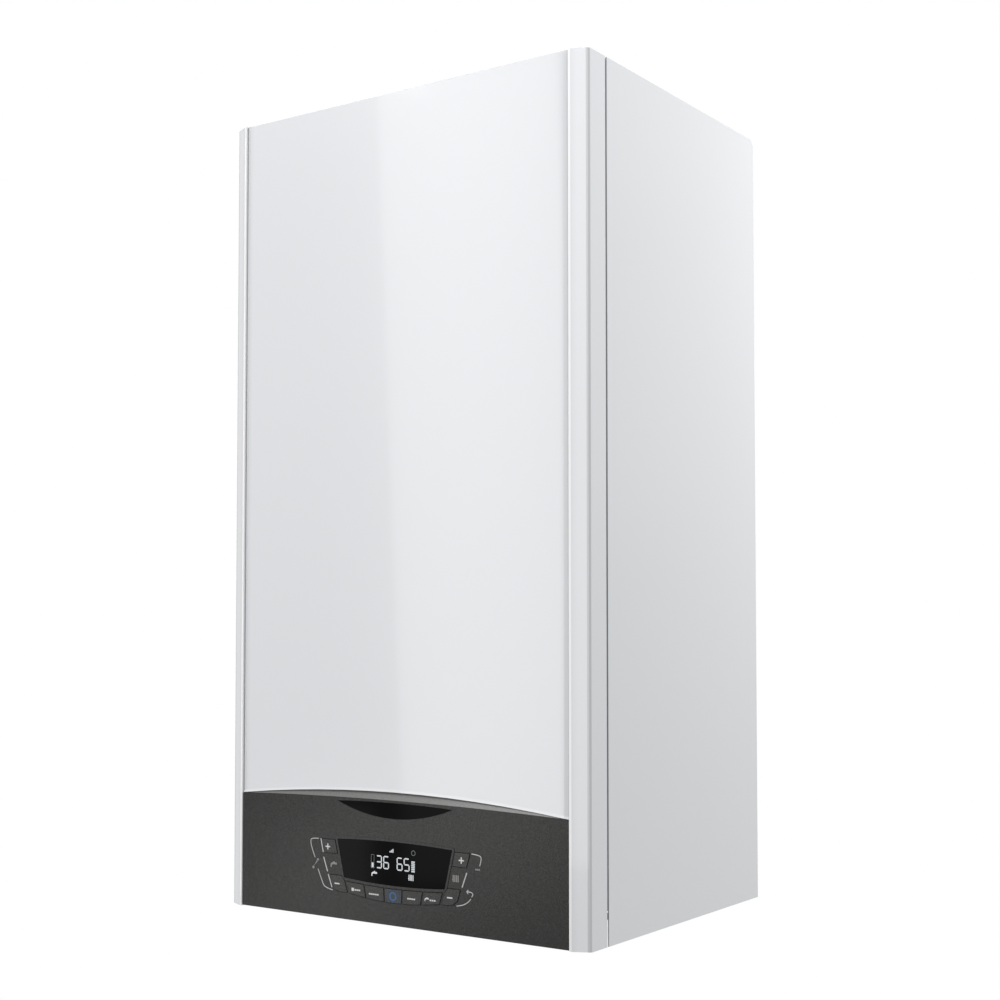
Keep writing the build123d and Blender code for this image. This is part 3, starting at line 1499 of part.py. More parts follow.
with BuildPart() as air_vent:
    vent_d = pump_rear_d + 26
    vent_low = pump_h + pump_r + 10
    with BuildSketch(level(vent_low)):
        with Locations((pump_x, -vent_d)):
            Circle(12)
    extrude(amount=22)
    with BuildSketch(level(vent_low + 22)):
        with Locations((pump_x, -vent_d)):
            Circle(5)
    extrude(amount=3)
    with BuildSketch(level(vent_low + 25)):
        with Locations((pump_x, -vent_d)):
            RegularPolygon(6.5, 8)
    extrude(amount=7)
save(air_vent.part, "air_vent")

safety_x = 128.0
safety_h = (block_low + block_high) / 2
safety_len = 34.0
knob_r = 15.0
knob_len = 16.0
valve_stem_r = 4.0

with BuildPart() as safety_valve:
    with BuildSketch(facing(block_front_d)):
        with Locations((safety_x, safety_h)):
            RegularPolygon(13, 6)
    extrude(amount=8)
    with BuildSketch(facing(block_front_d + 8)):
        with Locations((safety_x, safety_h)):
            Circle(11)
    extrude(amount=safety_len - 8)
    with BuildSketch(facing(block_front_d + safety_len)):
        with Locations((safety_x, safety_h)):
            Circle(valve_stem_r)
    extrude(amount=knob_len - 4)
    # discharge branch pointing down
    with BuildSketch(level(tray_top + 8)):
        with Locations((safety_x, -(block_front_d + 20))):
            Circle(7)
    extrude(amount=safety_h - tray_top - 8)
save(safety_valve.part, "safety_valve")

with BuildPart() as safety_knob:
    knob_d = block_front_d + safety_len + seat_gap
    with BuildSketch(facing(knob_d)):
        with Locations((safety_x, safety_h)):
            Circle(knob_r)
            with PolarLocations(knob_r + 1, 8):
                Circle(3, mode=Mode.SUBTRACT)
    extrude(amount=knob_len)
    chamfer(safety_knob.faces().sort_by(Axis.Y)[0].edges(), 1)
    with BuildSketch(facing(knob_d)):
        with Locations((safety_x, safety_h)):
            Circle(valve_stem_r + turn_fit)
    extrude(amount=knob_len - 4 + seat_gap, mode=Mode.SUBTRACT)
save(safety_knob.part, "safety_knob")

# filling tap under the block, its knob below the bottom plate
fill_knob_low = 4.0
fill_knob_t = 14.0
fill_stem_r = 4.0

with BuildPart() as filling_tap:
    with BuildSketch(level(tray_top)):
        with Locations((fill_x, -tail_d)):
            RegularPolygon(13, 6)
    extrude(amount=10)
    with BuildSketch(level(tray_top + 10)):
        with Locations((fill_x, -tail_d)):
            Circle(9.5)
    extrude(amount=block_low - tray_top - 10)
    with BuildSketch(level(fill_knob_low + 5)):
        with Locations((fill_x, -tail_d)):
            Circle(fill_stem_r)
    extrude(amount=tray_top - fill_knob_low - 5)
save(filling_tap.part, "filling_tap")

with BuildPart() as filling_knob:
    with BuildSketch(level(fill_knob_low)):
        with Locations((fill_x, -tail_d)):
            Circle(13)
            with PolarLocations(14.5, 6):
                Circle(4, mode=Mode.SUBTRACT)
    extrude(amount=fill_knob_t)
    with BuildSketch(level(fill_knob_low + 5 - seat_gap)):
        with Locations((fill_x, -tail_d)):
            Circle(fill_stem_r + turn_fit)
    extrude(amount=fill_knob_t, mode=Mode.SUBTRACT)
save(filling_knob.part, "filling_knob")

# cold water inlet with the flow sensor's turbine chamber above its thread
with BuildPart() as flow_sensor:
    with BuildSketch(level(tray_top)):
        with Locations((tail_xs[3], -tail_d)):
            Circle(boss_low_r)
    extrude(amount=block_low - tray_top)
    add(tail(3, tray_top))
    add(tail_bore(3, thread_small_r - 3), mode=Mode.SUBTRACT)
    # pick-up on the front
    with BuildSketch(facing(tail_d + 12)):
        with Locations((tail_xs[3], (tray_top + block_low) / 2)):
            RectangleRounded(18, 24, 2)
    extrude(amount=14)
save(flow_sensor.part, "flow_sensor")

with BuildPart() as pressure_sensor:
    with BuildSketch(facing(block_front_d)):
        with Locations((plate_port_x + 8, safety_h)):
            RegularPolygon(11, 6)
    extrude(amount=9)
    with BuildSketch(facing(block_front_d + 9)):
        with Locations((plate_port_x + 8, safety_h)):
            Circle(9)
    extrude(amount=16)
    with BuildSketch(facing(block_front_d + 25)):
        with Locations((plate_port_x + 8, safety_h)):
            RectangleRounded(14, 11, 2)
    extrude(amount=10)
save(pressure_sensor.part, "pressure_sensor")

# left-hand block: diverter cartridge, flow and hot water tails
divert_x = -114.0
divert_d = (block_rear_d + block_front_d) / 2
cartridge_r = 19.0
cartridge_high = 176.0
spindle_r = 3.0
spindle_travel = 7.0

with BuildPart() as diverter_valve:
    with BuildSketch(level(block_low)):
        with Locations((-(plate_port_x - 14 + 2 * tail_pitch + 16) / 2, -divert_d)):
            RectangleRounded(2 * tail_pitch + 30 - plate_port_x, block_front_d - block_rear_d, 8)
    extrude(amount=block_high - block_low)
    with BuildSketch(level(block_low)):
        with Locations((divert_x, -divert_d)):
            Circle(cartridge_r)
    extrude(amount=cartridge_high - block_low)
    # flow inlet from the heat exchanger
    with BuildSketch(level(block_high - 10)):
        with Locations((-plate_port_x - 4, -spigot_d + 8)):
            Circle(pipe_r + 5)
    extrude(amount=34)
    # tails
    for tail_i in (0, 1):
        with BuildSketch(level(tray_top)):
            with Locations((tail_xs[tail_i], -tail_d)):
                Circle(boss_low_r)
        extrude(amount=block_low - tray_top)
        add(tail(tail_i, tray_top))
        add(tail_bore(tail_i, tail_rs[tail_i] - 3), mode=Mode.SUBTRACT)
    # cartridge chamber and the spindle's guide
    with BuildSketch(level(block_high + 6)):
        with Locations((divert_x, -divert_d)):
            Circle(cartridge_r - 5)
    extrude(amount=48, mode=Mode.SUBTRACT)
    with BuildSketch(level(block_high + 50)):
        with Locations((divert_x, -divert_d)):
            Circle(spindle_r + turn_fit)
    extrude(amount=cartridge_high - block_high, mode=Mode.SUBTRACT)
save(diverter_valve.part, "diverter_valve")

with BuildPart() as diverter_spindle:
    plug_low = block_high + 12
    with BuildSketch(level(plug_low)):
        with Locations((divert_x, -divert_d)):
            Circle(cartridge_r - 7)
    extrude(amount=8)
    with BuildSketch(level(plug_low + 8)):
        with Locations((divert_x, -divert_d)):
            Circle(cartridge_r - 10)
    extrude(amount=14)
    with BuildSketch(level(plug_low + 22)):
        with Locations((divert_x, -divert_d)):
            Circle(cartridge_r - 7)
    extrude(amount=6)
    with BuildSketch(level(plug_low + 28)):
        with Locations((divert_x, -divert_d)):
            Circle(spindle_r)
    extrude(amount=cartridge_high + 6 - plug_low - 28)
save(diverter_spindle.part, "diverter_spindle")

with BuildPart() as diverter_motor:
    with BuildSketch(level(cartridge_high)):
        with Locations((divert_x, -divert_d)):
            Circle(cartridge_r + 1)
    extrude(amount=8)
    with BuildSketch(level(cartridge_high + 8)):
        with Locations((divert_x, -divert_d - 4)):
            RectangleRounded(46, 56, 7)
    extrude(amount=34)
    fillet(diverter_motor.faces().sort_by(Axis.Z)[-1].edges(), 3)
    with BuildSketch(facing(divert_d + 32)):
        with Locations((divert_x, cartridge_high + 24)):
            RectangleRounded(20, 12, 2)
    extrude(amount=10)
    with BuildSketch(level(cartridge_high - 1)):
        with Locations((divert_x, -divert_d)):
            Circle(spindle_r + turn_fit)
    extrude(amount=6 + spindle_travel + 3, mode=Mode.SUBTRACT)
save(diverter_motor.part, "diverter_motor")

# plate exchanger for the tap water, a stack of brazed plates behind the two blocks
plate_n = 14
plate_pitch = 3.4
plate_w = 2 * plate_port_x + 44
plate_h = block_high - block_low + 30

with BuildPart() as plate_exchanger:
    stack_low_d = block_rear_d - plate_n * plate_pitch
    plate_mid_h = (block_low + block_high) / 2
    for plate in range(plate_n):
        with BuildSketch(facing(stack_low_d + plate * plate_pitch)):
            with Locations((0, plate_mid_h)):
                RectangleRounded(plate_w, plate_h, 16)
        extrude(amount=plate_pitch - 1.2)
        with BuildSketch(facing(stack_low_d + (plate + 1) * plate_pitch - 1.2)):
            with Locations((0, plate_mid_h)):
                RectangleRounded(plate_w - 6, plate_h - 6, 13)
        extrude(amount=1.2)
save(plate_exchanger.part, "plate_exchanger")

with BuildPart() as flow_pipe:
    flow_top_h = drum_h(spigot_side) - spigot_drop
    flow_low_h = block_high + 24
    with BuildLine():
        FilletPolyline(
            spot(-plate_port_x - 4, spigot_d - 8, flow_low_h), spot(-plate_port_x - 4, spigot_d - 8, 240),
            spot(flow_x, spigot_d, 290), spot(flow_x, spigot_d, flow_top_h), radius=34,
        )
    with BuildSketch(level(flow_low_h)):
        with Locations((-plate_port_x - 4, -spigot_d + 8)):
            Circle(pipe_r)
    sweep()
    for nut_x, nut_d, nut_h in (
        (-plate_port_x - 4, spigot_d - 8, flow_low_h), (flow_x, spigot_d, flow_top_h - pipe_nut_h)
    ):
        with BuildSketch(level(nut_h)):
            with Locations((nut_x, -nut_d)):
                RegularPolygon(pipe_nut_r, 6)
        extrude(amount=pipe_nut_h)
save(flow_pipe.part, "flow_pipe")

with BuildPart() as return_pipe:
    return_low_h = pump_h + pump_r + 8
    with BuildLine():
        FilletPolyline(
            spot(return_up_x, spigot_d, return_low_h), spot(return_up_x, spigot_d, 262),
            spot(return_x, spigot_d, 306), spot(return_x, spigot_d, flow_top_h), radius=26,
        )
    with BuildSketch(level(return_low_h)):
        with Locations((return_up_x, -spigot_d)):
            Circle(pipe_r)
    sweep()
    for nut_x, nut_h in ((return_up_x, return_low_h), (return_x, flow_top_h - pipe_nut_h)):
        with BuildSketch(level(nut_h)):
            with Locations((nut_x, -spigot_d)):
                RegularPolygon(pipe_nut_r, 6)
        extrude(amount=pipe_nut_h)
save(return_pipe.part, "return_pipe")

with BuildPart() as expansion_pipe:
    with BuildLine():
        FilletPolyline(
            spot(0, vessel_mid_d, vessel_low - vessel_neck), spot(0, vessel_mid_d, vessel_low - 50),
            spot(2 * tail_pitch + 12, vessel_mid_d, 176),
            spot(2 * tail_pitch + 4, vessel_mid_d, safety_h),
            spot(2 * tail_pitch + 4, block_rear_d, safety_h),
            radius=16,
        )
    with BuildSketch(level(vessel_low - vessel_neck)):
        with Locations((0, -vessel_mid_d)):
            Circle(expansion_r)
    sweep()
    with BuildSketch(level(vessel_low - 26)):
        with Locations((0, -vessel_mid_d)):
            RegularPolygon(11, 6)
    extrude(amount=12)
save(expansion_pipe.part, "expansion_pipe")

trap_r = 24.0
trap_low = 40.0
trap_high = 168.0

with BuildPart() as condensate_trap:
    with BuildSketch(level(trap_low)):
        with Locations((drain_x, -drain_d)):
            Circle(trap_r)
    extrude(amount=trap_high - trap_low)
    fillet(condensate_trap.faces().sort_by(Axis.Z)[0].edges(), 7)
    with BuildSketch(level(trap_high - 14)):
        with Locations((drain_x, -drain_d)):
            Circle(trap_r + 2.5)
            with PolarLocations(trap_r + 3.5, 20):
                Circle(1.2, mode=Mode.SUBTRACT)
    extrude(amount=18)
    with BuildSketch(level(tray_top)):
        with Locations((drain_x, -drain_d)):
            Circle(drain_r + 3)
    extrude(amount=trap_low - tray_top + 2)
    spout_steps = ((2, tray_h - 2, drain_r - 1), (tray_h - 2, tray_top, drain_r - 1.4))
    for spout_low, spout_high, spout_r in spout_steps:
        with BuildSketch(level(spout_low)):
            with Locations((drain_x, -drain_d)):
                Circle(spout_r)
        extrude(amount=spout_high - spout_low)
    with BuildSketch(level(2)):
        with Locations((drain_x, -drain_d)):
            Circle(drain_r - 3.5)
    extrude(amount=30, mode=Mode.SUBTRACT)
    # riser from the heat exchanger
    with BuildLine():
        FilletPolyline(
            spot(drain_x, drain_d, trap_high), spot(drain_x, drain_d, 236),
            spot(exch_x, drain_d, 290), spot(exch_x, drain_d, drum_h(0) - spigot_drop), radius=24,
        )
    with BuildSketch(level(trap_high)):
        with Locations((drain_x, -drain_d)):
            Circle(7)
    sweep()
    with BuildSketch(level(drum_h(0) - spigot_drop - 14)):
        with Locations((exch_x, -drain_d)):
            Circle(trap_spigot_r + 2)
    extrude(amount=14)
save(condensate_trap.part, "condensate_trap")

with BuildPart() as tail_nuts:
    for tail_x, tail_r in zip(tail_xs, tail_rs):
        with BuildSketch(level(thread_top)):
            with Locations((tail_x, -tail_d)):
                RegularPolygon(tail_hole_r + 5, 6)
                Circle(tail_r - neck, mode=Mode.SUBTRACT)
        extrude(amount=lock_nut_h)
save(tail_nuts.part, "tail_nuts")

with BuildPart() as cable_gland:
    with BuildSketch(level(tray_h - 12)):
        with Locations((gland_x, -gland_d)):
            Circle(gland_r + 2)
            with PolarLocations(gland_r + 3.2, 12):
                Circle(1.6, mode=Mode.SUBTRACT)
    extrude(amount=12)
    chamfer(cable_gland.faces().sort_by(Axis.Z)[0].edges().sort_by(Axis.X)[0], 0.5)
    with BuildSketch(level(tray_h)):
        with Locations((gland_x, -gland_d)):
            Circle(gland_r)
    extrude(amount=frame_t + 8)
    with BuildSketch(level(tray_top)):
        with Locations((gland_x, -gland_d)):
            RegularPolygon(gland_r + 4, 6)
    extrude(amount=5)
    with BuildSketch(level(0)):
        with Locations((gland_x, -gland_d)):
            Circle(4.5)
    extrude(amount=tray_top + 12, mode=Mode.SUBTRACT)
save(cable_gland.part, "cable_gland")
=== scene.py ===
import json
import math

import bpy
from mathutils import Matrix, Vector


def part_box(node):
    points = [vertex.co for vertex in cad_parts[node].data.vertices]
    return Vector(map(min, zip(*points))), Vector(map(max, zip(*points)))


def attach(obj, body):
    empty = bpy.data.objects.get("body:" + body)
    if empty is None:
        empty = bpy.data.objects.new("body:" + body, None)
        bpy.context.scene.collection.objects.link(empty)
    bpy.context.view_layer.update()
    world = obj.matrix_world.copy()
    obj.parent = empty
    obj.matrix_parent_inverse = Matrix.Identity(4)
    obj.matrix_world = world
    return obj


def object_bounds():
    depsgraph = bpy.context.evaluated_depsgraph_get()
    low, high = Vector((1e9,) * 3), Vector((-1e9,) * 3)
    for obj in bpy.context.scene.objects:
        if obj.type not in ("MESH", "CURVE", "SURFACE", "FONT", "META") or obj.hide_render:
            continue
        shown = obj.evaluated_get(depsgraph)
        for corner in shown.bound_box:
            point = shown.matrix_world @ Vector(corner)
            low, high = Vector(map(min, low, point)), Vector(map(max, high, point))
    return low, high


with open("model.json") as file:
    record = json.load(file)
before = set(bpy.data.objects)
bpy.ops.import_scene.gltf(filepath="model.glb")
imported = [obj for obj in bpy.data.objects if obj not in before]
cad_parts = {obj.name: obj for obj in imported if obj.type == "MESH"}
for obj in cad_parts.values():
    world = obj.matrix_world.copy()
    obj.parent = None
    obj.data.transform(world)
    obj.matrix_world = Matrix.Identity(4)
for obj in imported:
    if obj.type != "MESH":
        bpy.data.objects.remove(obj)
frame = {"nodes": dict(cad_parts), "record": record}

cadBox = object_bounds()
mm = 0.001
print("stage: frame loaded,", len(frame["nodes"]), "nodes")


class Wire:
    # an output socket that works in plain expressions, each of which adds its Math node
    def __init__(self, shade, socket):
        self.shade = shade
        self.socket = socket

    def __add__(self, other):
        return self.shade.maths("ADD", self, other)

    def __radd__(self, other):
        return self.shade.maths("ADD", other, self)

    def __sub__(self, other):
        return self.shade.maths("SUBTRACT", self, other)

    def __rsub__(self, other):
        return self.shade.maths("SUBTRACT", other, self)

    def __mul__(self, other):
        return self.shade.maths("MULTIPLY", self, other)

    def __rmul__(self, other):
        return self.shade.maths("MULTIPLY", other, self)

    def __gt__(self, other):
        return self.shade.maths("GREATER_THAN", self, other)

    def __lt__(self, other):
        return self.shade.maths("LESS_THAN", self, other)


class Shade:
    # a new material, or the nodes of a tree that is there already
    def __init__(self, name, tree=None, **fixed):
        if tree is None:
            self.material = bpy.data.materials.new(name)
            self.material.use_nodes = True
            tree = self.material.node_tree
            self.bsdf = tree.nodes["Principled BSDF"]
            for socketName, value in fixed.items():
                self.bsdf.inputs[socketName.replace("_", " ")].default_value = value
        self.tree = tree
        self.seat = None

    def join(self, value, socket):
        if isinstance(value, Wire):
            self.tree.links.new(value.socket, socket)
        else:
            socket.default_value = value

    def joinColour(self, value, socket):
        self.join(value if isinstance(value, Wire) else (*value, 1.0), socket)

    def node(self, kind, settings=None, *values, out=0, **named):
        made = self.tree.nodes.new(kind)
        for key, setting in (settings or {}).items():
            setattr(made, key, setting)
        for i, value in enumerate(values):
            self.join(value, made.inputs[i])
        for socketName, value in named.items():
            self.join(value, made.inputs[socketName.replace("_", " ")])
        return Wire(self, made.outputs[out])

    def maths(self, how, *values):
        return self.node("ShaderNodeMath", {"operation": how}, *values)

    def place(self, stretch=None):
        # where on the piece, in metres, drawn out along an axis by a small stretch
        if self.seat is None:
            self.seat = self.node("ShaderNodeTexCoord", out="Object")
        if stretch is None:
            return self.seat
        return self.node("ShaderNodeMapping", None, Vector=self.seat, Scale=stretch)

    def noise(self, scale, detail=2.0, rough=0.5, stretch=None):
        return self.node("ShaderNodeTexNoise", None, Vector=self.place(stretch), Scale=scale, Detail=detail,
                         Roughness=rough)

    def cells(self, scale, out="Distance"):
        return self.node("ShaderNodeTexVoronoi", None, out=out, Vector=self.place(), Scale=scale)

    def axis(self, letter):
        return self.node("ShaderNodeSeparateXYZ", None, self.place(), out=letter)

    def ramp(self, value, low, high, bottom=0.0, top=1.0):
        smooth = {"interpolation_type": "SMOOTHSTEP"}
        return self.node("ShaderNodeMapRange", smooth, value, low, high, bottom, top)

    def blendColour(self, factor, first, second):
        # a colour mix has its factor at 0, its colours at 6 and 7 and its result at 2
        made = self.tree.nodes.new("ShaderNodeMix")
        made.data_type = "RGBA"
        self.join(factor, made.inputs[0])
        self.joinColour(first, made.inputs[6])
        self.joinColour(second, made.inputs[7])
        return Wire(self, made.outputs[2])

    def colour(self, value):
        self.joinColour(value, self.bsdf.inputs["Base Color"])

    def rough(self, value):
        self.join(value, self.bsdf.inputs["Roughness"])

    def bump(self, height, distance, strength):
        normal = self.node("ShaderNodeBump", None, Height=height, Distance=distance, Strength=strength)
        self.join(normal, self.bsdf.inputs["Normal"])


# the wide arch over the fascia is part of a circle about a point far below the case
arch = dict(middleZ=-2.1106, radius=1.528, bevel=0.0095)


def archReach(shade):
    # how far a point is above the arch
    up = shade.axis("Z") - arch["middleZ"]
    across = shade.axis("X")
    return shade.maths("SQRT", up * up + across * across) - arch["radius"]


# stove enamel, with lines of painted light on it: painted shade in a groove, along a seam and on a fold, and
# painted highlight along a lip
enamel = dict(
    base=(0.785, 0.80, 0.824), warm=(0.775, 0.792, 0.815), drift=2.5,
    # the last three tones are painted light: a whiter tone for painted highlight and two greys for painted
    # shade
    paintedHighlight=(0.93, 0.935, 0.945), paintedEdgeShade=(0.40, 0.41, 0.42), paintedSeamShade=(0.17, 0.17, 0.175),
    frontY=-0.3105,         # upright lines on the casing show only ahead of this depth
    # painted highlight along the casing's lip over the arch
    lip=dict(inner=0.0012, outer=0.0030, strength=0.8, foot=-0.001, halfWidth=0.1816),    # over the arch
    peel=((900.0, 0.6), (300.0, 0.4)), peelDeep=0.00002, peelStrength=0.25,     # scales and their shares
    rough=0.2, roughCloud=60, roughDrift=0.05,
)
# each line lies at a distance along one axis, at full strength within inner and gone past outer
casingPaintedLight = [
    # painted shade: the panel darkens towards the groove beside each strip
    dict(tint="paintedEdgeShade", axis="X", middle=0.1816, inner=0.0005, outer=0.0095, strength=0.24),
    # painted shade in the groove between the panel and each strip
    dict(tint="paintedSeamShade", axis="X", middle=0.1820, inner=0.0004, outer=0.0007, strength=1.0),
    # painted highlight along each strip's lip
    dict(tint="paintedHighlight", axis="X", middle=0.1837, inner=0.0010, outer=0.0017, strength=1.0),
    # painted shade along the fold at each strip's outer edge
    dict(tint="paintedEdgeShade", axis="X", middle=0.1985, inner=0.0012, outer=0.0019, strength=0.56),
]
# painted shade along each side sheet's front edge, where it shows in the seam
sidePaintedShade = [dict(tint="paintedSeamShade", axis="Y", middle=0.2843, inner=0.0002, outer=0.0006, strength=0.7)]


def whiteEnamel(name, lines=(), arched=False):
    # each listed line is painted shade or painted highlight on the enamel, and arched adds a painted
    # highlight along the lip over the arch
    look = enamel
    shade = Shade(name, IOR=1.5, Coat_Weight=0.6, Coat_Roughness=0.05)
    tone = shade.blendColour(shade.noise(look["drift"]), look["base"], look["warm"])
    for line in lines:
        away = shade.maths("ABSOLUTE", shade.axis(line["axis"])) - line["middle"]
        mask = shade.ramp(shade.maths("ABSOLUTE", away), line["inner"], line["outer"], line["strength"], 0.0)
        if line["axis"] == "X":
            mask = mask * (shade.axis("Y") < look["frontY"])
        tone = shade.blendColour(mask, tone, look[line["tint"]])
    if arched:
        lip = look["lip"]
        reach = archReach(shade)
        mask = shade.ramp(reach, lip["inner"], lip["outer"], lip["strength"], 0.0) * (reach > lip["foot"])
        mask = mask * (shade.maths("ABSOLUTE", shade.axis("X")) < lip["halfWidth"])
        tone = shade.blendColour(mask, tone, look["paintedHighlight"])
    shade.colour(tone)
    shade.rough(shade.noise(look["roughCloud"], 3) * look["roughDrift"] + look["rough"])
    fine, coarse = (shade.noise(scale, 1) * share for scale, share in look["peel"])
    shade.bump(fine + coarse, look["peelDeep"], look["peelStrength"])
    return shade.material


def zincSheet():
    # galvanised steel: each crystal has its own tone
    look = dict(bright=(0.60, 0.62, 0.635), dull=(0.44, 0.46, 0.48), spangle=160.0, spangleShare=0.8,
                mottle=8, mottleShare=0.2, grain=700, grainShare=0.4, grainDeep=0.00001, grainStrength=0.5,
                rough=0.34, roughDrift=0.14)
    shade = Shade("zincSheet", Metallic=1.0)
    flake = shade.cells(look["spangle"], out="Color")
    tone = shade.node("ShaderNodeSeparateColor", None, flake, out="Red")
    mixed = tone * look["spangleShare"] + shade.noise(look["mottle"], 3) * look["mottleShare"]
    shade.colour(shade.blendColour(mixed, look["dull"], look["bright"]))
    shade.rough(look["rough"] + tone * look["roughDrift"])
    relief = tone + shade.noise(look["grain"]) * look["grainShare"]
    shade.bump(relief, look["grainDeep"], look["grainStrength"])
    return shade.material


def moulded(name, colour, rough, grain=1400.0, grainDeep=0.00002, drift=0.06):
    # injection moulding: fine spark-eroded grain and a slow drift of tone
    look = dict(cloud=9, lift=0.02, roughCloud=120, roughDrift=0.08, grainStrength=0.45)
    shade = Shade(name, IOR=1.5)
    lighter = tuple(min(1.0, c * (1 + drift) + drift * look["lift"]) for c in colour)
    shade.colour(shade.blendColour(shade.noise(look["cloud"], 3), colour, lighter))
    shade.rough(rough + shade.noise(look["roughCloud"]) * look["roughDrift"])
    shade.bump(shade.noise(grain), grainDeep, look["grainStrength"])
    return shade.material


def filledComposite():
    # glass-filled moulding: short fibres swirl along the flow
    look = dict(dark=(0.018, 0.018, 0.020), fibre=(0.055, 0.056, 0.060), swirl=90, flow=(1, 1, 0.35),
                fibreFrom=0.42, fibreTo=0.68, grain=1500, grainShare=0.5, grainDeep=0.00003,
                grainStrength=0.4, rough=0.38, roughDrift=0.16)
    shade = Shade("filledComposite", IOR=1.5)
    swirl = shade.noise(look["swirl"], 5, 0.65, look["flow"])
    fibres = shade.ramp(swirl, look["fibreFrom"], look["fibreTo"])
    shade.colour(shade.blendColour(fibres, look["dark"], look["fibre"]))
    shade.rough(look["rough"] + swirl * look["roughDrift"])
    relief = shade.noise(look["grain"]) * look["grainShare"] + swirl
    shade.bump(relief, look["grainDeep"], look["grainStrength"])
    return shade.material


def stainless():
    # brushed along x
    look = dict(bright=(0.66, 0.66, 0.655), dull=(0.48, 0.48, 0.47), brush=260, along=(0.06, 1, 1),
                brushDeep=0.00001, brushStrength=0.35, rough=0.20, roughDrift=0.16)
    shade = Shade("stainless", Metallic=1.0)
    brush = shade.noise(look["brush"], 3, 0.6, look["along"])
    shade.colour(shade.blendColour(brush, look["dull"], look["bright"]))
    shade.rough(look["rough"] + brush * look["roughDrift"])
    shade.bump(brush, look["brushDeep"], look["brushStrength"])
    return shade.material


def castAluminium():
    look = dict(bright=(0.63, 0.635, 0.645), dull=(0.46, 0.465, 0.48), mottle=14, skin=420,
                skinDeep=0.00009, skinStrength=0.6, rough=0.42, roughDrift=0.2)
    shade = Shade("castAluminium", Metallic=0.95)
    skin = shade.noise(look["skin"], 4, 0.6)
    shade.colour(shade.blendColour(shade.noise(look["mottle"], 4), look["dull"], look["bright"]))
    shade.rough(look["rough"] + skin * look["roughDrift"])
    shade.bump(skin, look["skinDeep"], look["skinStrength"])
    return shade.material


def turnedMetal(name, bright, dull, rough):
    # brass, copper and zinc pieces: faint tool lines and a dull bloom in patches
    look = dict(patch=26, patchFrom=0.38, patchTo=0.72, roughDrift=0.16, toolLine=900, turned=(1, 1, 0.2),
                lineDeep=0.00001, lineStrength=0.4)
    shade = Shade(name, Metallic=1.0)
    bloom = shade.ramp(shade.noise(look["patch"], 4, 0.6), look["patchFrom"], look["patchTo"])
    shade.colour(shade.blendColour(bloom, bright, dull))
    shade.rough(rough + bloom * look["roughDrift"])
    shade.bump(shade.noise(look["toolLine"], stretch=look["turned"]), look["lineDeep"], look["lineStrength"])
    return shade.material


def vesselPaint():
    look = dict(deep=(0.36, 0.018, 0.014), light=(0.42, 0.026, 0.018), drift=6, peel=420, peelDeep=0.00006,
                peelStrength=0.5, rough=0.36, roughCloud=200, roughDrift=0.08)
    shade = Shade("vesselPaint", IOR=1.5, Coat_Weight=0.25, Coat_Roughness=0.12)
    shade.colour(shade.blendColour(shade.noise(look["drift"], 3), look["deep"], look["light"]))
    shade.rough(look["rough"] + shade.noise(look["roughCloud"]) * look["roughDrift"])
    shade.bump(shade.noise(look["peel"]), look["peelDeep"], look["peelStrength"])
    return shade.material


def rubber(name, colour, pore=600.0):
    # rubber and foam: the tone darkens towards the edges of the cells
    look = dict(spread=1.4, shadow=0.6, rough=0.78, roughCloud=90, roughDrift=0.12, poreDeep=0.00008,
                poreStrength=0.6)
    shade = Shade(name, IOR=1.45)
    pores = shade.cells(pore)
    darker = tuple(c * look["shadow"] for c in colour)
    shade.colour(shade.blendColour(pores * look["spread"], colour, darker))
    shade.rough(look["rough"] + shade.noise(look["roughCloud"]) * look["roughDrift"])
    shade.bump(pores, look["poreDeep"], look["poreStrength"])
    return shade.material


# dark grey metallic lacquer: flakes under a satin top, and on the bevel under the arch a lighter tone that is
# partly its own satin finish and partly painted highlight
fasciaLook = dict(
    deep=(0.012, 0.0118, 0.0115), flake=(0.058, 0.0568, 0.055),
    flakeScale=5200.0, flakeFrom=0.25, flakeTo=1.0,
    bevel=(0.195, 0.193, 0.191), bevelY=-0.31765,         # the bevel falls back behind this depth
    grain=1800, grainDeep=0.00001, grainStrength=0.3, rough=0.24, roughDrift=0.06,
)


def fasciaPaint(name, lift=1.0, tint=(1, 1, 1), bevelHighlighted=False):
    look = fasciaLook
    shade = Shade(name, Metallic=0.5, IOR=1.5, Specular_IOR_Level=0.15, Coat_Weight=0.06, Coat_Roughness=0.2)
    flakes = shade.cells(look["flakeScale"], out="Color")
    speck = shade.node("ShaderNodeSeparateColor", None, flakes, out="Green")
    deep, flake = (tuple(c * lift * t for c, t in zip(look[key], tint)) for key in ("deep", "flake"))
    tone = shade.blendColour(shade.ramp(speck, look["flakeFrom"], look["flakeTo"]), deep, flake)
    # painted highlight: the bevel under the arch is painted lighter, partly for its own satin tone and partly
    # for the light it catches from above
    if bevelHighlighted:
        bevelHighlight = (shade.axis("Y") > look["bevelY"]) * (archReach(shade) > -arch["bevel"])
        tone = shade.blendColour(bevelHighlight, tone, look["bevel"])
    shade.colour(tone)
    shade.rough(look["rough"] + speck * look["roughDrift"])
    shade.bump(shade.noise(look["grain"]), look["grainDeep"], look["grainStrength"])
    return shade.material


def glossBlack():
    # the display window and the lens above it
    look = dict(deep=(0.0024, 0.0024, 0.0026), light=(0.0034, 0.0034, 0.0036), drift=12, rough=0.07,
                roughCloud=40, roughDrift=0.03)
    shade = Shade("glossBlack", IOR=1.42, Specular_IOR_Level=0.035)
    shade.colour(shade.blendColour(shade.noise(look["drift"]), look["deep"], look["light"]))
    shade.rough(look["rough"] + shade.noise(look["roughCloud"]) * look["roughDrift"])
    return shade.material


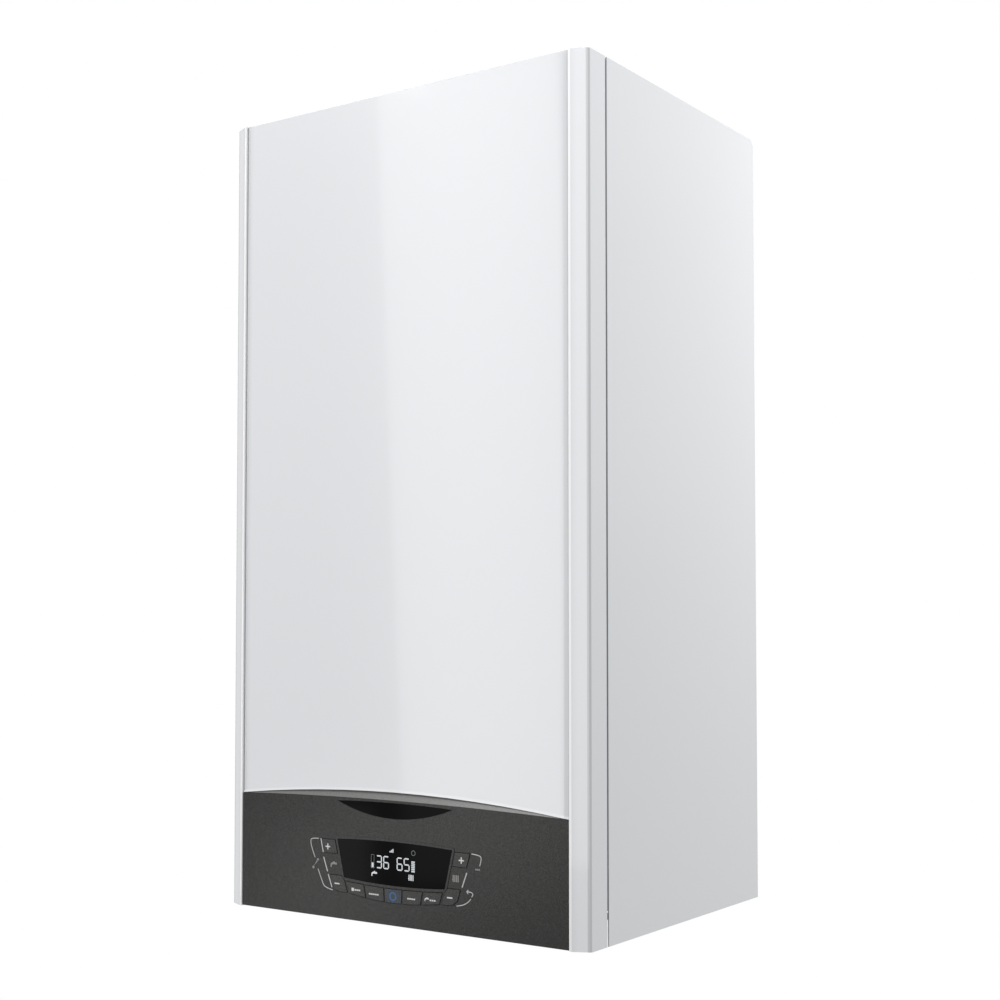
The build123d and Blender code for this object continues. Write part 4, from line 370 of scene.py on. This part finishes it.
def circuitBoard():
    look = dict(board=(0.012, 0.085, 0.035), track=(0.022, 0.13, 0.055), trackScale=140.0, trackShift=0.37,
                trackSize=0.08, rough=0.3, roughCloud=200, roughDrift=0.1)
    shade = Shade("circuitBoard", IOR=1.5, Coat_Weight=0.2, Coat_Roughness=0.15)
    tracks = shade.node("ShaderNodeTexBrick", {"offset": look["trackShift"]}, out="Fac", Vector=shade.place(),
                        Scale=look["trackScale"], Mortar_Size=look["trackSize"])
    shade.colour(shade.blendColour(tracks, look["board"], look["track"]))
    shade.rough(look["rough"] + shade.noise(look["roughCloud"]) * look["roughDrift"])
    return shade.material


def ceramic():
    look = dict(glaze=(0.80, 0.79, 0.74), fired=(0.74, 0.72, 0.66), mottle=60, rough=0.22, roughCloud=200,
                roughDrift=0.06)
    shade = Shade("ceramic", IOR=1.5, Coat_Weight=0.5, Coat_Roughness=0.05)
    shade.colour(shade.blendColour(shade.noise(look["mottle"], 3), look["glaze"], look["fired"]))
    shade.rough(look["rough"] + shade.noise(look["roughCloud"]) * look["roughDrift"])
    return shade.material


def silverInk():
    look = dict(dull=(0.36, 0.36, 0.355), bright=(0.44, 0.44, 0.435), grain=800, rough=0.3, roughCloud=900,
                roughDrift=0.08)
    shade = Shade("silverInk", Metallic=0.6)
    shade.colour(shade.blendColour(shade.noise(look["grain"]), look["dull"], look["bright"]))
    shade.rough(look["rough"] + shade.noise(look["roughCloud"]) * look["roughDrift"])
    return shade.material


def litSegment(name, colour, glow):
    # a mark that glows, or with no glow a matt print
    look = dict(mottle=900, dim=0.92, rough=0.5, roughCloud=400, roughDrift=0.05)
    shade = Shade(name, Emission_Strength=glow)
    dimmer = tuple(c * look["dim"] for c in colour)
    mottle = shade.blendColour(shade.noise(look["mottle"]), colour, dimmer)
    shade.colour(mottle)
    shade.join(mottle, shade.bsdf.inputs["Emission Color"])
    shade.rough(look["rough"] + shade.noise(look["roughCloud"], 1) * look["roughDrift"])
    return shade.material


finishes = {
    "white_enamel": whiteEnamel("whiteEnamel"),
    "zinc_sheet": zincSheet(),
    "white_plastic": moulded("whitePlastic", (0.78, 0.78, 0.765), 0.36),
    "black_rubber": rubber("blackRubber", (0.020, 0.020, 0.021)),
    "flue_plastic": moulded("fluePlastic", (0.66, 0.655, 0.63), 0.4),
    "black_plastic": moulded("blackPlastic", (0.017, 0.017, 0.019), 0.4, drift=0.3),
    "stainless": stainless(),
    "cast_aluminium": castAluminium(),
    "zinc_screw": turnedMetal("zincScrew", (0.62, 0.62, 0.60), (0.50, 0.50, 0.49), 0.24),
    "ceramic": ceramic(),
    "copper": turnedMetal("copper", (0.78, 0.40, 0.25), (0.52, 0.24, 0.15), 0.24),
    "vessel_paint": vesselPaint(),
    "composite": filledComposite(),
    "pump_paint": moulded("pumpPaint", (0.040, 0.044, 0.050), 0.36, 500.0, 0.00005),
    "brass": turnedMetal("brass", (0.72, 0.53, 0.24), (0.50, 0.36, 0.17), 0.25),
    "trap_plastic": moulded("trapPlastic", (0.62, 0.64, 0.63), 0.34),
    "grey_foam": rubber("greyFoam", (0.085, 0.085, 0.088), 900.0),
    "fascia_grey": fasciaPaint("fasciaGrey", bevelHighlighted=True),
    "display_black": glossBlack(),
    "board_green": circuitBoard(),
    "box_plastic": moulded("boxPlastic", (0.055, 0.055, 0.058), 0.44),
    "wheel_plastic": moulded("wheelPlastic", (0.05, 0.05, 0.054), 0.4),
    "red_plastic": moulded("redPlastic", (0.48, 0.018, 0.014), 0.32),
    "key_grey": fasciaPaint("keyGrey", 1.15),
}
for row in frame["record"]["subparts"]:
    cadMesh = frame["nodes"][row["node"]].data
    cadMesh.materials.clear()
    cadMesh.materials.append(finishes[row["material_slot"]])

# the casing and the side sheets carry their lines of painted shade and painted highlight, and the power key
# is lighter and bluer than the rest
casingEnamel = whiteEnamel("casingEnamel", casingPaintedLight, arched=True)
sideEnamel = whiteEnamel("sideEnamel", sidePaintedShade)
powerGrey = fasciaPaint("powerGrey", 1.35, (0.86, 0.97, 1.16))
frame["nodes"]["front_panel"].data.materials[0] = casingEnamel
for sideName in ("left_side_panel", "right_side_panel"):
    frame["nodes"][sideName].data.materials[0] = sideEnamel
frame["nodes"]["power_key"].data.materials[0] = powerGrey

silver = silverInk()
segmentLight = litSegment("segmentLight", (0.62, 0.66, 0.68), 0.25)
segmentDim = litSegment("segmentDim", (0.22, 0.24, 0.25), 0.05)
iconWhite = litSegment("iconWhite", (0.72, 0.72, 0.71), 0.0)
iconGrey = litSegment("iconGrey", (0.27, 0.265, 0.255), 0.0)
ringBlue = litSegment("ringBlue", (0.024, 0.090, 0.215), 0.15)
print("stage: finishes")


# printed and lit marks are flat outlines in millimetres: x from the case's middle, height from its foot
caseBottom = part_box("front_panel")[0].z
printThick = 0.00004


def addSpline(curve, kind, points):
    spline = curve.splines.new(kind)
    spline.points.add(len(points) - 1)
    for point, (x, height) in zip(spline.points, points):
        point.co = (x * mm, height * mm, 0, 1)
    return spline


def curveToMesh(name, curve, faceY, flat=1.0):
    # stands the curve up on a face that looks forwards, pressed to a share of its thickness
    piece = bpy.data.objects.new(name, curve)
    bpy.context.scene.collection.objects.link(piece)
    bpy.ops.object.select_all(action="DESELECT")
    piece.select_set(True)
    bpy.context.view_layer.objects.active = piece
    bpy.ops.object.convert(target="MESH")
    piece = bpy.context.view_layer.objects.active
    piece.name = name
    piece.scale = (1, 1, flat)
    piece.rotation_euler = (math.pi / 2, 0, 0)
    piece.location = (0, faceY, caseBottom)
    bpy.ops.object.transform_apply(location=True, rotation=True, scale=True)
    return piece


def outlineMesh(name, outlines, faceY):
    # filled outlines, where one inside another is a hole
    curve = bpy.data.curves.new(name, "CURVE")
    curve.dimensions = "2D"
    curve.fill_mode = "BOTH"
    curve.extrude = printThick / 2
    for outline in outlines:
        addSpline(curve, "POLY", outline).use_cyclic_u = True
    return curveToMesh(name, curve, faceY)


def lineMesh(name, paths, width, faceY, proud, order=2):
    # drawn lines with a low round section, through the points or, past order 2, smoothly by them
    curve = bpy.data.curves.new(name, "CURVE")
    curve.dimensions = "3D"
    curve.bevel_depth = width * mm / 2
    curve.bevel_resolution = 3
    curve.use_fill_caps = True
    curve.resolution_u = 8
    for path in paths:
        spline = addSpline(curve, "POLY" if order == 2 else "NURBS", path)
        if order > 2:
            spline.order_u = order
            spline.use_endpoint_u = True
    return curveToMesh(name, curve, faceY, 2 * proud / (width * mm))


def dress(piece, material, body):
    piece.data.materials.clear()
    piece.data.materials.append(material)
    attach(piece, body)


def rectangle(left, foot, right, head):
    return [(left, foot), (right, foot), (right, head), (left, head)]


def barMark(cx, ch, width, high):
    return rectangle(cx - width / 2, ch - high / 2, cx + width / 2, ch + high / 2)


def dashes(cx, ch, count, long, high=1.25, pitch=2.25):
    # a row of short bars of one length
    left = cx - (count * pitch - (pitch - long)) / 2
    return [rectangle(left + i * pitch, ch - high / 2, left + i * pitch + long, ch + high / 2)
            for i in range(count)]


def circle(cx, ch, radius, steps):
    turn = 2 * math.pi / steps
    return [(cx + radius * math.cos(i * turn), ch + radius * math.sin(i * turn)) for i in range(steps)]


def plusMark(cx, ch, size, bar):
    a, b = size / 2, bar / 2
    corners = [(-a, -b), (-b, -b), (-b, -a), (b, -a), (b, -b), (a, -b), (a, b), (b, b), (b, a), (-b, a),
               (-b, b), (-a, b)]
    return [[(x + cx, h + ch) for x, h in corners]]


def tapMark(cx, ch, size):
    # a tap in profile: spout, body and handle, drawn 8 wide
    s = size / 8
    body = [(-4, -2.6), (-2.6, -2.6), (-2.4, -0.6), (-1.2, 0.2), (4, 0.2), (4, 2.2), (1.6, 2.2), (1.2, 3.2),
            (-0.2, 3.2), (-0.6, 2.2), (-1.8, 2.2), (-3.6, 1.0), (-4, -1)]
    return [[(cx + x * s, ch + h * s) for x, h in body]]


def radiatorMark(cx, ch, size):
    # upright fins and a stub of pipe, with the pitch and the stub's length in fin widths
    look = dict(columns=4, pitch=1.6, reach=0.42, stub=0.5, stubFoot=0.2, stubHead=0.08)
    fin = size / (look["columns"] * look["pitch"])
    left = cx - (look["columns"] * look["pitch"] - (look["pitch"] - 1)) * fin / 2
    reach = size * look["reach"]
    marks = []
    for i in range(look["columns"]):
        finLeft = left + i * look["pitch"] * fin
        marks.append(rectangle(finLeft, ch - reach, finLeft + fin, ch + reach))
    stubLeft = left - look["stub"] * fin
    marks.append(rectangle(stubLeft, ch - size * look["stubFoot"], left, ch - size * look["stubHead"]))
    return marks


# digits of seven pointed bars, lettered from the top around, with g across the middle
litBars = {0: "abcdef", 1: "bc", 2: "abged", 3: "abgcd", 4: "fgbc", 5: "afgcd", 6: "afgedc", 7: "abc",
           8: "abcdefg", 9: "abcdfg"}


def digitMarks(digit, left, low, width, height, bar, gap):
    half = bar / 2
    west, east = left + half, left + width - half
    foot, waist, head = low + half, low + height / 2, low + height - half

    def level(h):
        a, b = west + gap, east - gap
        return [(a, h), (a + half, h - half), (b - half, h - half),
                (b, h), (b - half, h + half), (a + half, h + half)]

    def upright(x, under, over):
        a, b = under + gap, over - gap
        return [(x, a), (x + half, a + half), (x + half, b - half),
                (x, b), (x - half, b - half), (x - half, a + half)]

    shapes = {"a": level(head), "g": level(waist), "d": level(foot),
              "f": upright(west, waist, head), "b": upright(east, waist, head),
              "e": upright(west, foot, waist), "c": upright(east, foot, waist)}
    return [shapes[letter] for letter in litBars[digit]]


# display, seen as lit segments on the black window: gauges and signal give left, foot, right and head
display = dict(
    digits=((3, -19.6), (6, -11.6), (6, 3.6), (5, 11.4)),       # each with its left edge
    digitLow=49.4, digitWidth=6.6, digitHeight=11.6,
    bar=1.15, gap=0.14, gaugeLeft=(-25.2, 49.4, -22.0, 61.0), fillEdge=0.5, fillHead=4.6,
    gaugeRight=(19.9, 49.4, 23.7, 61.0), rungs=7, rungShare=0.72,
    tap=(-21.8, 44.2, 6.4), radiator=(19.6, 44.4, 6.0),
    signal=(-4.4, 64.6, -3.2, 65.8), signals=3, signalPitch=1.6, signalRise=1.0,
    ring=(22.1, 66.0, 2.1), ringSteps=24, outline=0.45,
)
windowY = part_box("display_window")[0].y


def makeDisplay():
    look = display
    marks = []
    for digit, left in look["digits"]:
        marks += digitMarks(digit, left, look["digitLow"], look["digitWidth"], look["digitHeight"],
                            look["bar"], look["gap"])
    left, foot, right, head = look["gaugeLeft"]
    edge = look["fillEdge"]
    marks.append(rectangle(left + edge, foot + edge, right - edge, foot + look["fillHead"]))
    frameLine = [(left, foot), (left, head), (right, head), (right, foot), (left, foot)]
    left, foot, right, head = look["gaugeRight"]
    pitch = (head - foot) / look["rungs"]
    marks += [rectangle(left, foot + i * pitch, right, foot + (i + look["rungShare"]) * pitch)
              for i in range(look["rungs"] - 1)]
    marks += tapMark(*look["tap"])
    marks += radiatorMark(*look["radiator"])
    left, foot, right, head = look["signal"]
    for i in range(look["signals"]):
        step = i * look["signalPitch"]
        marks.append(rectangle(left + step, foot, right + step, head + i * look["signalRise"]))
    dress(outlineMesh("lcdSegments", marks, windowY), segmentLight, "control_panel")
    ring = circle(*look["ring"], look["ringSteps"])
    lines = lineMesh("lcdOutlines", [frameLine, ring + ring[:1]], look["outline"], windowY, printThick)
    dress(lines, segmentDim, "control_panel")


# marks on the nine keys, each riding on its own key: dashes give their middle, their count and length
keyMarks = dict(
    plusSize=5.4, minusWidth=5.8, bar=1.15, leftPlus=(-75.6, 64.0), rightPlus=(74.2, 64.2),
    leftMinus=(-64.5, 31.7), rightMinus=(62.0, 31.4), modeSquare=(-47.4, 26.8, -44.6, 29.6),
    modeDashes=(-40.6, 28.0, 3, 1.9), menuDashes=(-21.8, 26.2, 5, 1.9), infoDashes=(20.2, 26.2, 4, 1.8),
    resetTap=(37.2, 27.6, 4.6), resetDashes=(43.6, 27.2, 3, 1.7),
    powerMiddle=(-0.2, 26.4), powerRadii=(4.1, 2.5), powerSteps=48,
)


def makeKeyMarks():
    look = keyMarks
    bar = look["bar"]
    rows = {
        "left_plus": plusMark(*look["leftPlus"], look["plusSize"], bar),
        "right_plus": plusMark(*look["rightPlus"], look["plusSize"], bar),
        "left_minus": [barMark(*look["leftMinus"], look["minusWidth"], bar)],
        "right_minus": [barMark(*look["rightMinus"], look["minusWidth"], bar)],
        "mode": [rectangle(*look["modeSquare"])] + dashes(*look["modeDashes"]),
        "menu": dashes(*look["menuDashes"]),
        "info": dashes(*look["infoDashes"]),
        "reset": tapMark(*look["resetTap"]) + dashes(*look["resetDashes"]),
    }
    for key, outlines in rows.items():
        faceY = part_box(key + "_key")[0].y
        dress(outlineMesh(key + "Mark", outlines, faceY), iconWhite, key + "_button")
    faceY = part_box("power_key")[0].y
    rings = [circle(*look["powerMiddle"], radius, look["powerSteps"]) for radius in look["powerRadii"]]
    dress(outlineMesh("powerRing", rings, faceY), ringBlue, "power_button")


# silver lines and small signs printed on the fascia, whose face lies just behind the window's bezel
fasciaMarks = dict(
    behindBezel=0.5, line=1.2, lineProud=0.00012, fine=0.85, fineProud=0.0001,
    lines=[
        [(-84.6, 70.6), (-81.6, 58.4)],
        [(-81.2, 54.2), (-76.4, 41.4)],
        [(-75.6, 39.0), (-73.3, 33.2), (-71.0, 27.6)],
        [(79.6, 54.2), (74.6, 41.2)],
    ],
    brackets=[
        [(-87, 70.4), (-94.4, 70.2), (-97.2, 68.4), (-95.4, 61), (-91.4, 52.8)],
        [(-88, 43), (-82.6, 31.6), (-79.6, 26.6), (-70.3, 25.3)],
        [(84.5, 70.5), (92.4, 70.2), (95.4, 67.6), (93, 61)],
        [(83.8, 32.5), (79.6, 26.4), (68.8, 25.0)],
    ],
    tap=(-69.2, 48.2, 7.4), radiator=(67.8, 48.2, 7.0),
    slantBar=[(-93.2, 44.8), (-92.4, 44.2), (-88.2, 50.0), (-89.0, 50.6)],
    slantEnds=((-93.4, 43.8), (-88.0, 51.0)), slantEndR=1.3, slantSteps=12,
    dashRow=(90.8, 57.8, 3, 1.3, 1.4, 1.7),
    arrow=[
        [(79.2, 38.2), (84.4, 38.4), (86.6, 36.2), (84.6, 34.2)],
        [(81.2, 39.8), (79.0, 38.2), (81.0, 36.4)],
    ],
)
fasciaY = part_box("control_fascia")[0].y + fasciaMarks["behindBezel"] * mm


def makeFasciaMarks():
    look = fasciaMarks
    piece = lineMesh("silverLines", look["lines"], look["line"], fasciaY, look["lineProud"], 3)
    dress(piece, silver, "control_panel")
    piece = lineMesh("silverBrackets", look["brackets"], look["fine"], fasciaY, look["fineProud"], 3)
    dress(piece, silver, "control_panel")
    signs = tapMark(*look["tap"]) + radiatorMark(*look["radiator"]) + [look["slantBar"]]
    signs += [circle(*end, look["slantEndR"], look["slantSteps"]) for end in look["slantEnds"]]
    signs += dashes(*look["dashRow"])
    dress(outlineMesh("fasciaSigns", signs, fasciaY), iconGrey, "control_panel")
    piece = lineMesh("returnSign", look["arrow"], look["fine"], fasciaY, look["fineProud"], 3)
    dress(piece, silver, "control_panel")


makeDisplay()
makeKeyMarks()
makeFasciaMarks()
print("stage: display, key marks and printed lines")


# room: a pale floor well below the hung case, whose rim fades out, and a plain sky
studio = dict(floorDrop=1.1, floorY=-0.2, floorR=3.2, floorSteps=96, floorTone=(0.86, 0.86, 0.86),
              floorRough=0.8, fade=(0.45, 0.95), ambient=0.39)


def makeFloor():
    look = studio
    low = cadBox[0].z - look["floorDrop"]
    bpy.ops.object.select_all(action="DESELECT")
    bpy.ops.mesh.primitive_circle_add(vertices=look["floorSteps"], radius=look["floorR"], fill_type="NGON",
                                      location=(0, look["floorY"], low))
    floor = bpy.context.active_object
    floor.name = "floor"
    shade = Shade("floorPaint")
    shade.colour(look["floorTone"])
    shade.rough(look["floorRough"])
    across = shade.node("ShaderNodeVectorMath", {"operation": "LENGTH"}, shade.place(), out="Value")
    fadeFrom, fadeTo = (look["floorR"] * share for share in look["fade"])
    edge = shade.ramp(across, fadeFrom, fadeTo)
    clear = shade.node("ShaderNodeBsdfTransparent")
    surface = shade.node("ShaderNodeMixShader", None, edge, Wire(shade, shade.bsdf.outputs[0]), clear)
    shade.join(surface, shade.tree.nodes["Material Output"].inputs["Surface"])
    floor.data.materials.append(shade.material)


def makeSky():
    # white where it is seen, straight, in gloss or through glass, and dimmer as a light
    world = bpy.data.worlds.new("sky")
    bpy.context.scene.world = world
    world.use_nodes = True
    shade = Shade("sky", world.node_tree)
    seen = shade.node("ShaderNodeLightPath", out="Is Camera Ray")
    rays = seen.socket.node.outputs
    for ray in ("Is Glossy Ray", "Is Transmission Ray"):
        seen = shade.maths("MAXIMUM", seen, Wire(shade, rays[ray]))
    ground = world.node_tree.nodes["Background"]
    ground.inputs["Color"].default_value = (1, 1, 1, 1)
    shade.join(seen * (1 - studio["ambient"]) + studio["ambient"], ground.inputs["Strength"])


# lamps: where each stands, what it faces, its width and height, its brightness and its roll if it has one
lamps = dict(
    topFront=((0.25, -1.75, 1.5), (0, -0.3, -0.15), (1.5, 1.2), 2.5),
    rightHigh=((1.15, -1.0, 1.2), (0.1, -0.25, -0.1), (0.8, 0.8), 3.0),
    rightNear=((0.75, -0.75, 0.95), (0.15, -0.3, -0.1), (0.5, 0.5), 3.7),
    rearNear=((0.62, 0.38, 0.3), (0.2, -0.02, -0.15), (0.4, 0.4), 3.7),
    rearLow=((0.75, 0.5, -0.1), (0.2, -0.02, -0.15), (0.4, 0.4), 3.5),
    keyCard=((-0.765, -1.518, -0.08), (-0.765, 0, -0.08), (0.4, 1.65), 2.1, 0.049),
    frontStrip=((0.86, -2.2, 0.1), (0.19, -0.3, -0.3), (0.3, 2.2), 1.8),
    farLeft=((-1.9, -0.45, -0.25), (-0.2, -0.3, -0.33), (0.6, 1.6), 0.3),
    crescentCard=((-1.18, -1.31, 0.72), (-0.02, -0.318, -0.59), (0.8, 0.3), 1.2),
    fasciaCard=((-1.45, -1.9, -1.05), (-0.12, -0.3, -0.66), (0.2, 0.4), 3.6),
    backLeft=((-1.6, 0.6, 1.0), (-0.1, -0.1, -0.2), (1.2, 1.2), 1.4),
)
unmirrored = ("topFront", "rightHigh", "rightNear", "rearNear", "rearLow", "farLeft")    # not seen in gloss


def addLamp(name, place, target, size, radiance, roll=0.0):
    # a softbox given by its brightness, so its power follows its area
    lamp = bpy.data.lights.new(name, "AREA")
    lamp.shape = "RECTANGLE"
    lamp.size, lamp.size_y = size
    lamp.energy = radiance * math.pi * size[0] * size[1]
    holder = bpy.data.objects.new(name, lamp)
    bpy.context.scene.collection.objects.link(holder)
    holder.location = place
    holder.rotation_euler = (Vector(target) - Vector(place)).to_track_quat("-Z", "Y").to_euler()
    holder.rotation_euler.rotate_axis("Z", roll)
    holder.visible_glossy = name not in unmirrored


def makeCamera():
    view = dict(place=(0.8682, -1.4112, -0.42995), azimuth=34.599, pitch=2.357, lens=56.485, sensor=36.0,
                shiftY=0.0549, near=0.01, far=50)
    camera = bpy.data.cameras.new("camera")
    camera.lens = view["lens"]
    camera.sensor_width = view["sensor"]
    camera.shift_y = view["shiftY"]
    camera.clip_start = view["near"]
    camera.clip_end = view["far"]
    holder = bpy.data.objects.new("camera", camera)
    bpy.context.scene.collection.objects.link(holder)
    turn, tilt = math.radians(view["azimuth"]), math.radians(view["pitch"])
    ahead = Vector((-math.sin(turn) * math.cos(tilt), math.cos(turn) * math.cos(tilt), math.sin(tilt)))
    holder.location = view["place"]
    holder.rotation_euler = ahead.to_track_quat("-Z", "Y").to_euler()
    bpy.context.scene.camera = holder


makeCamera()
makeFloor()
makeSky()
for lampName, lampRow in lamps.items():
    addLamp(lampName, *lampRow)
bpy.context.scene.view_settings.view_transform = "Standard"
print("stage: room")
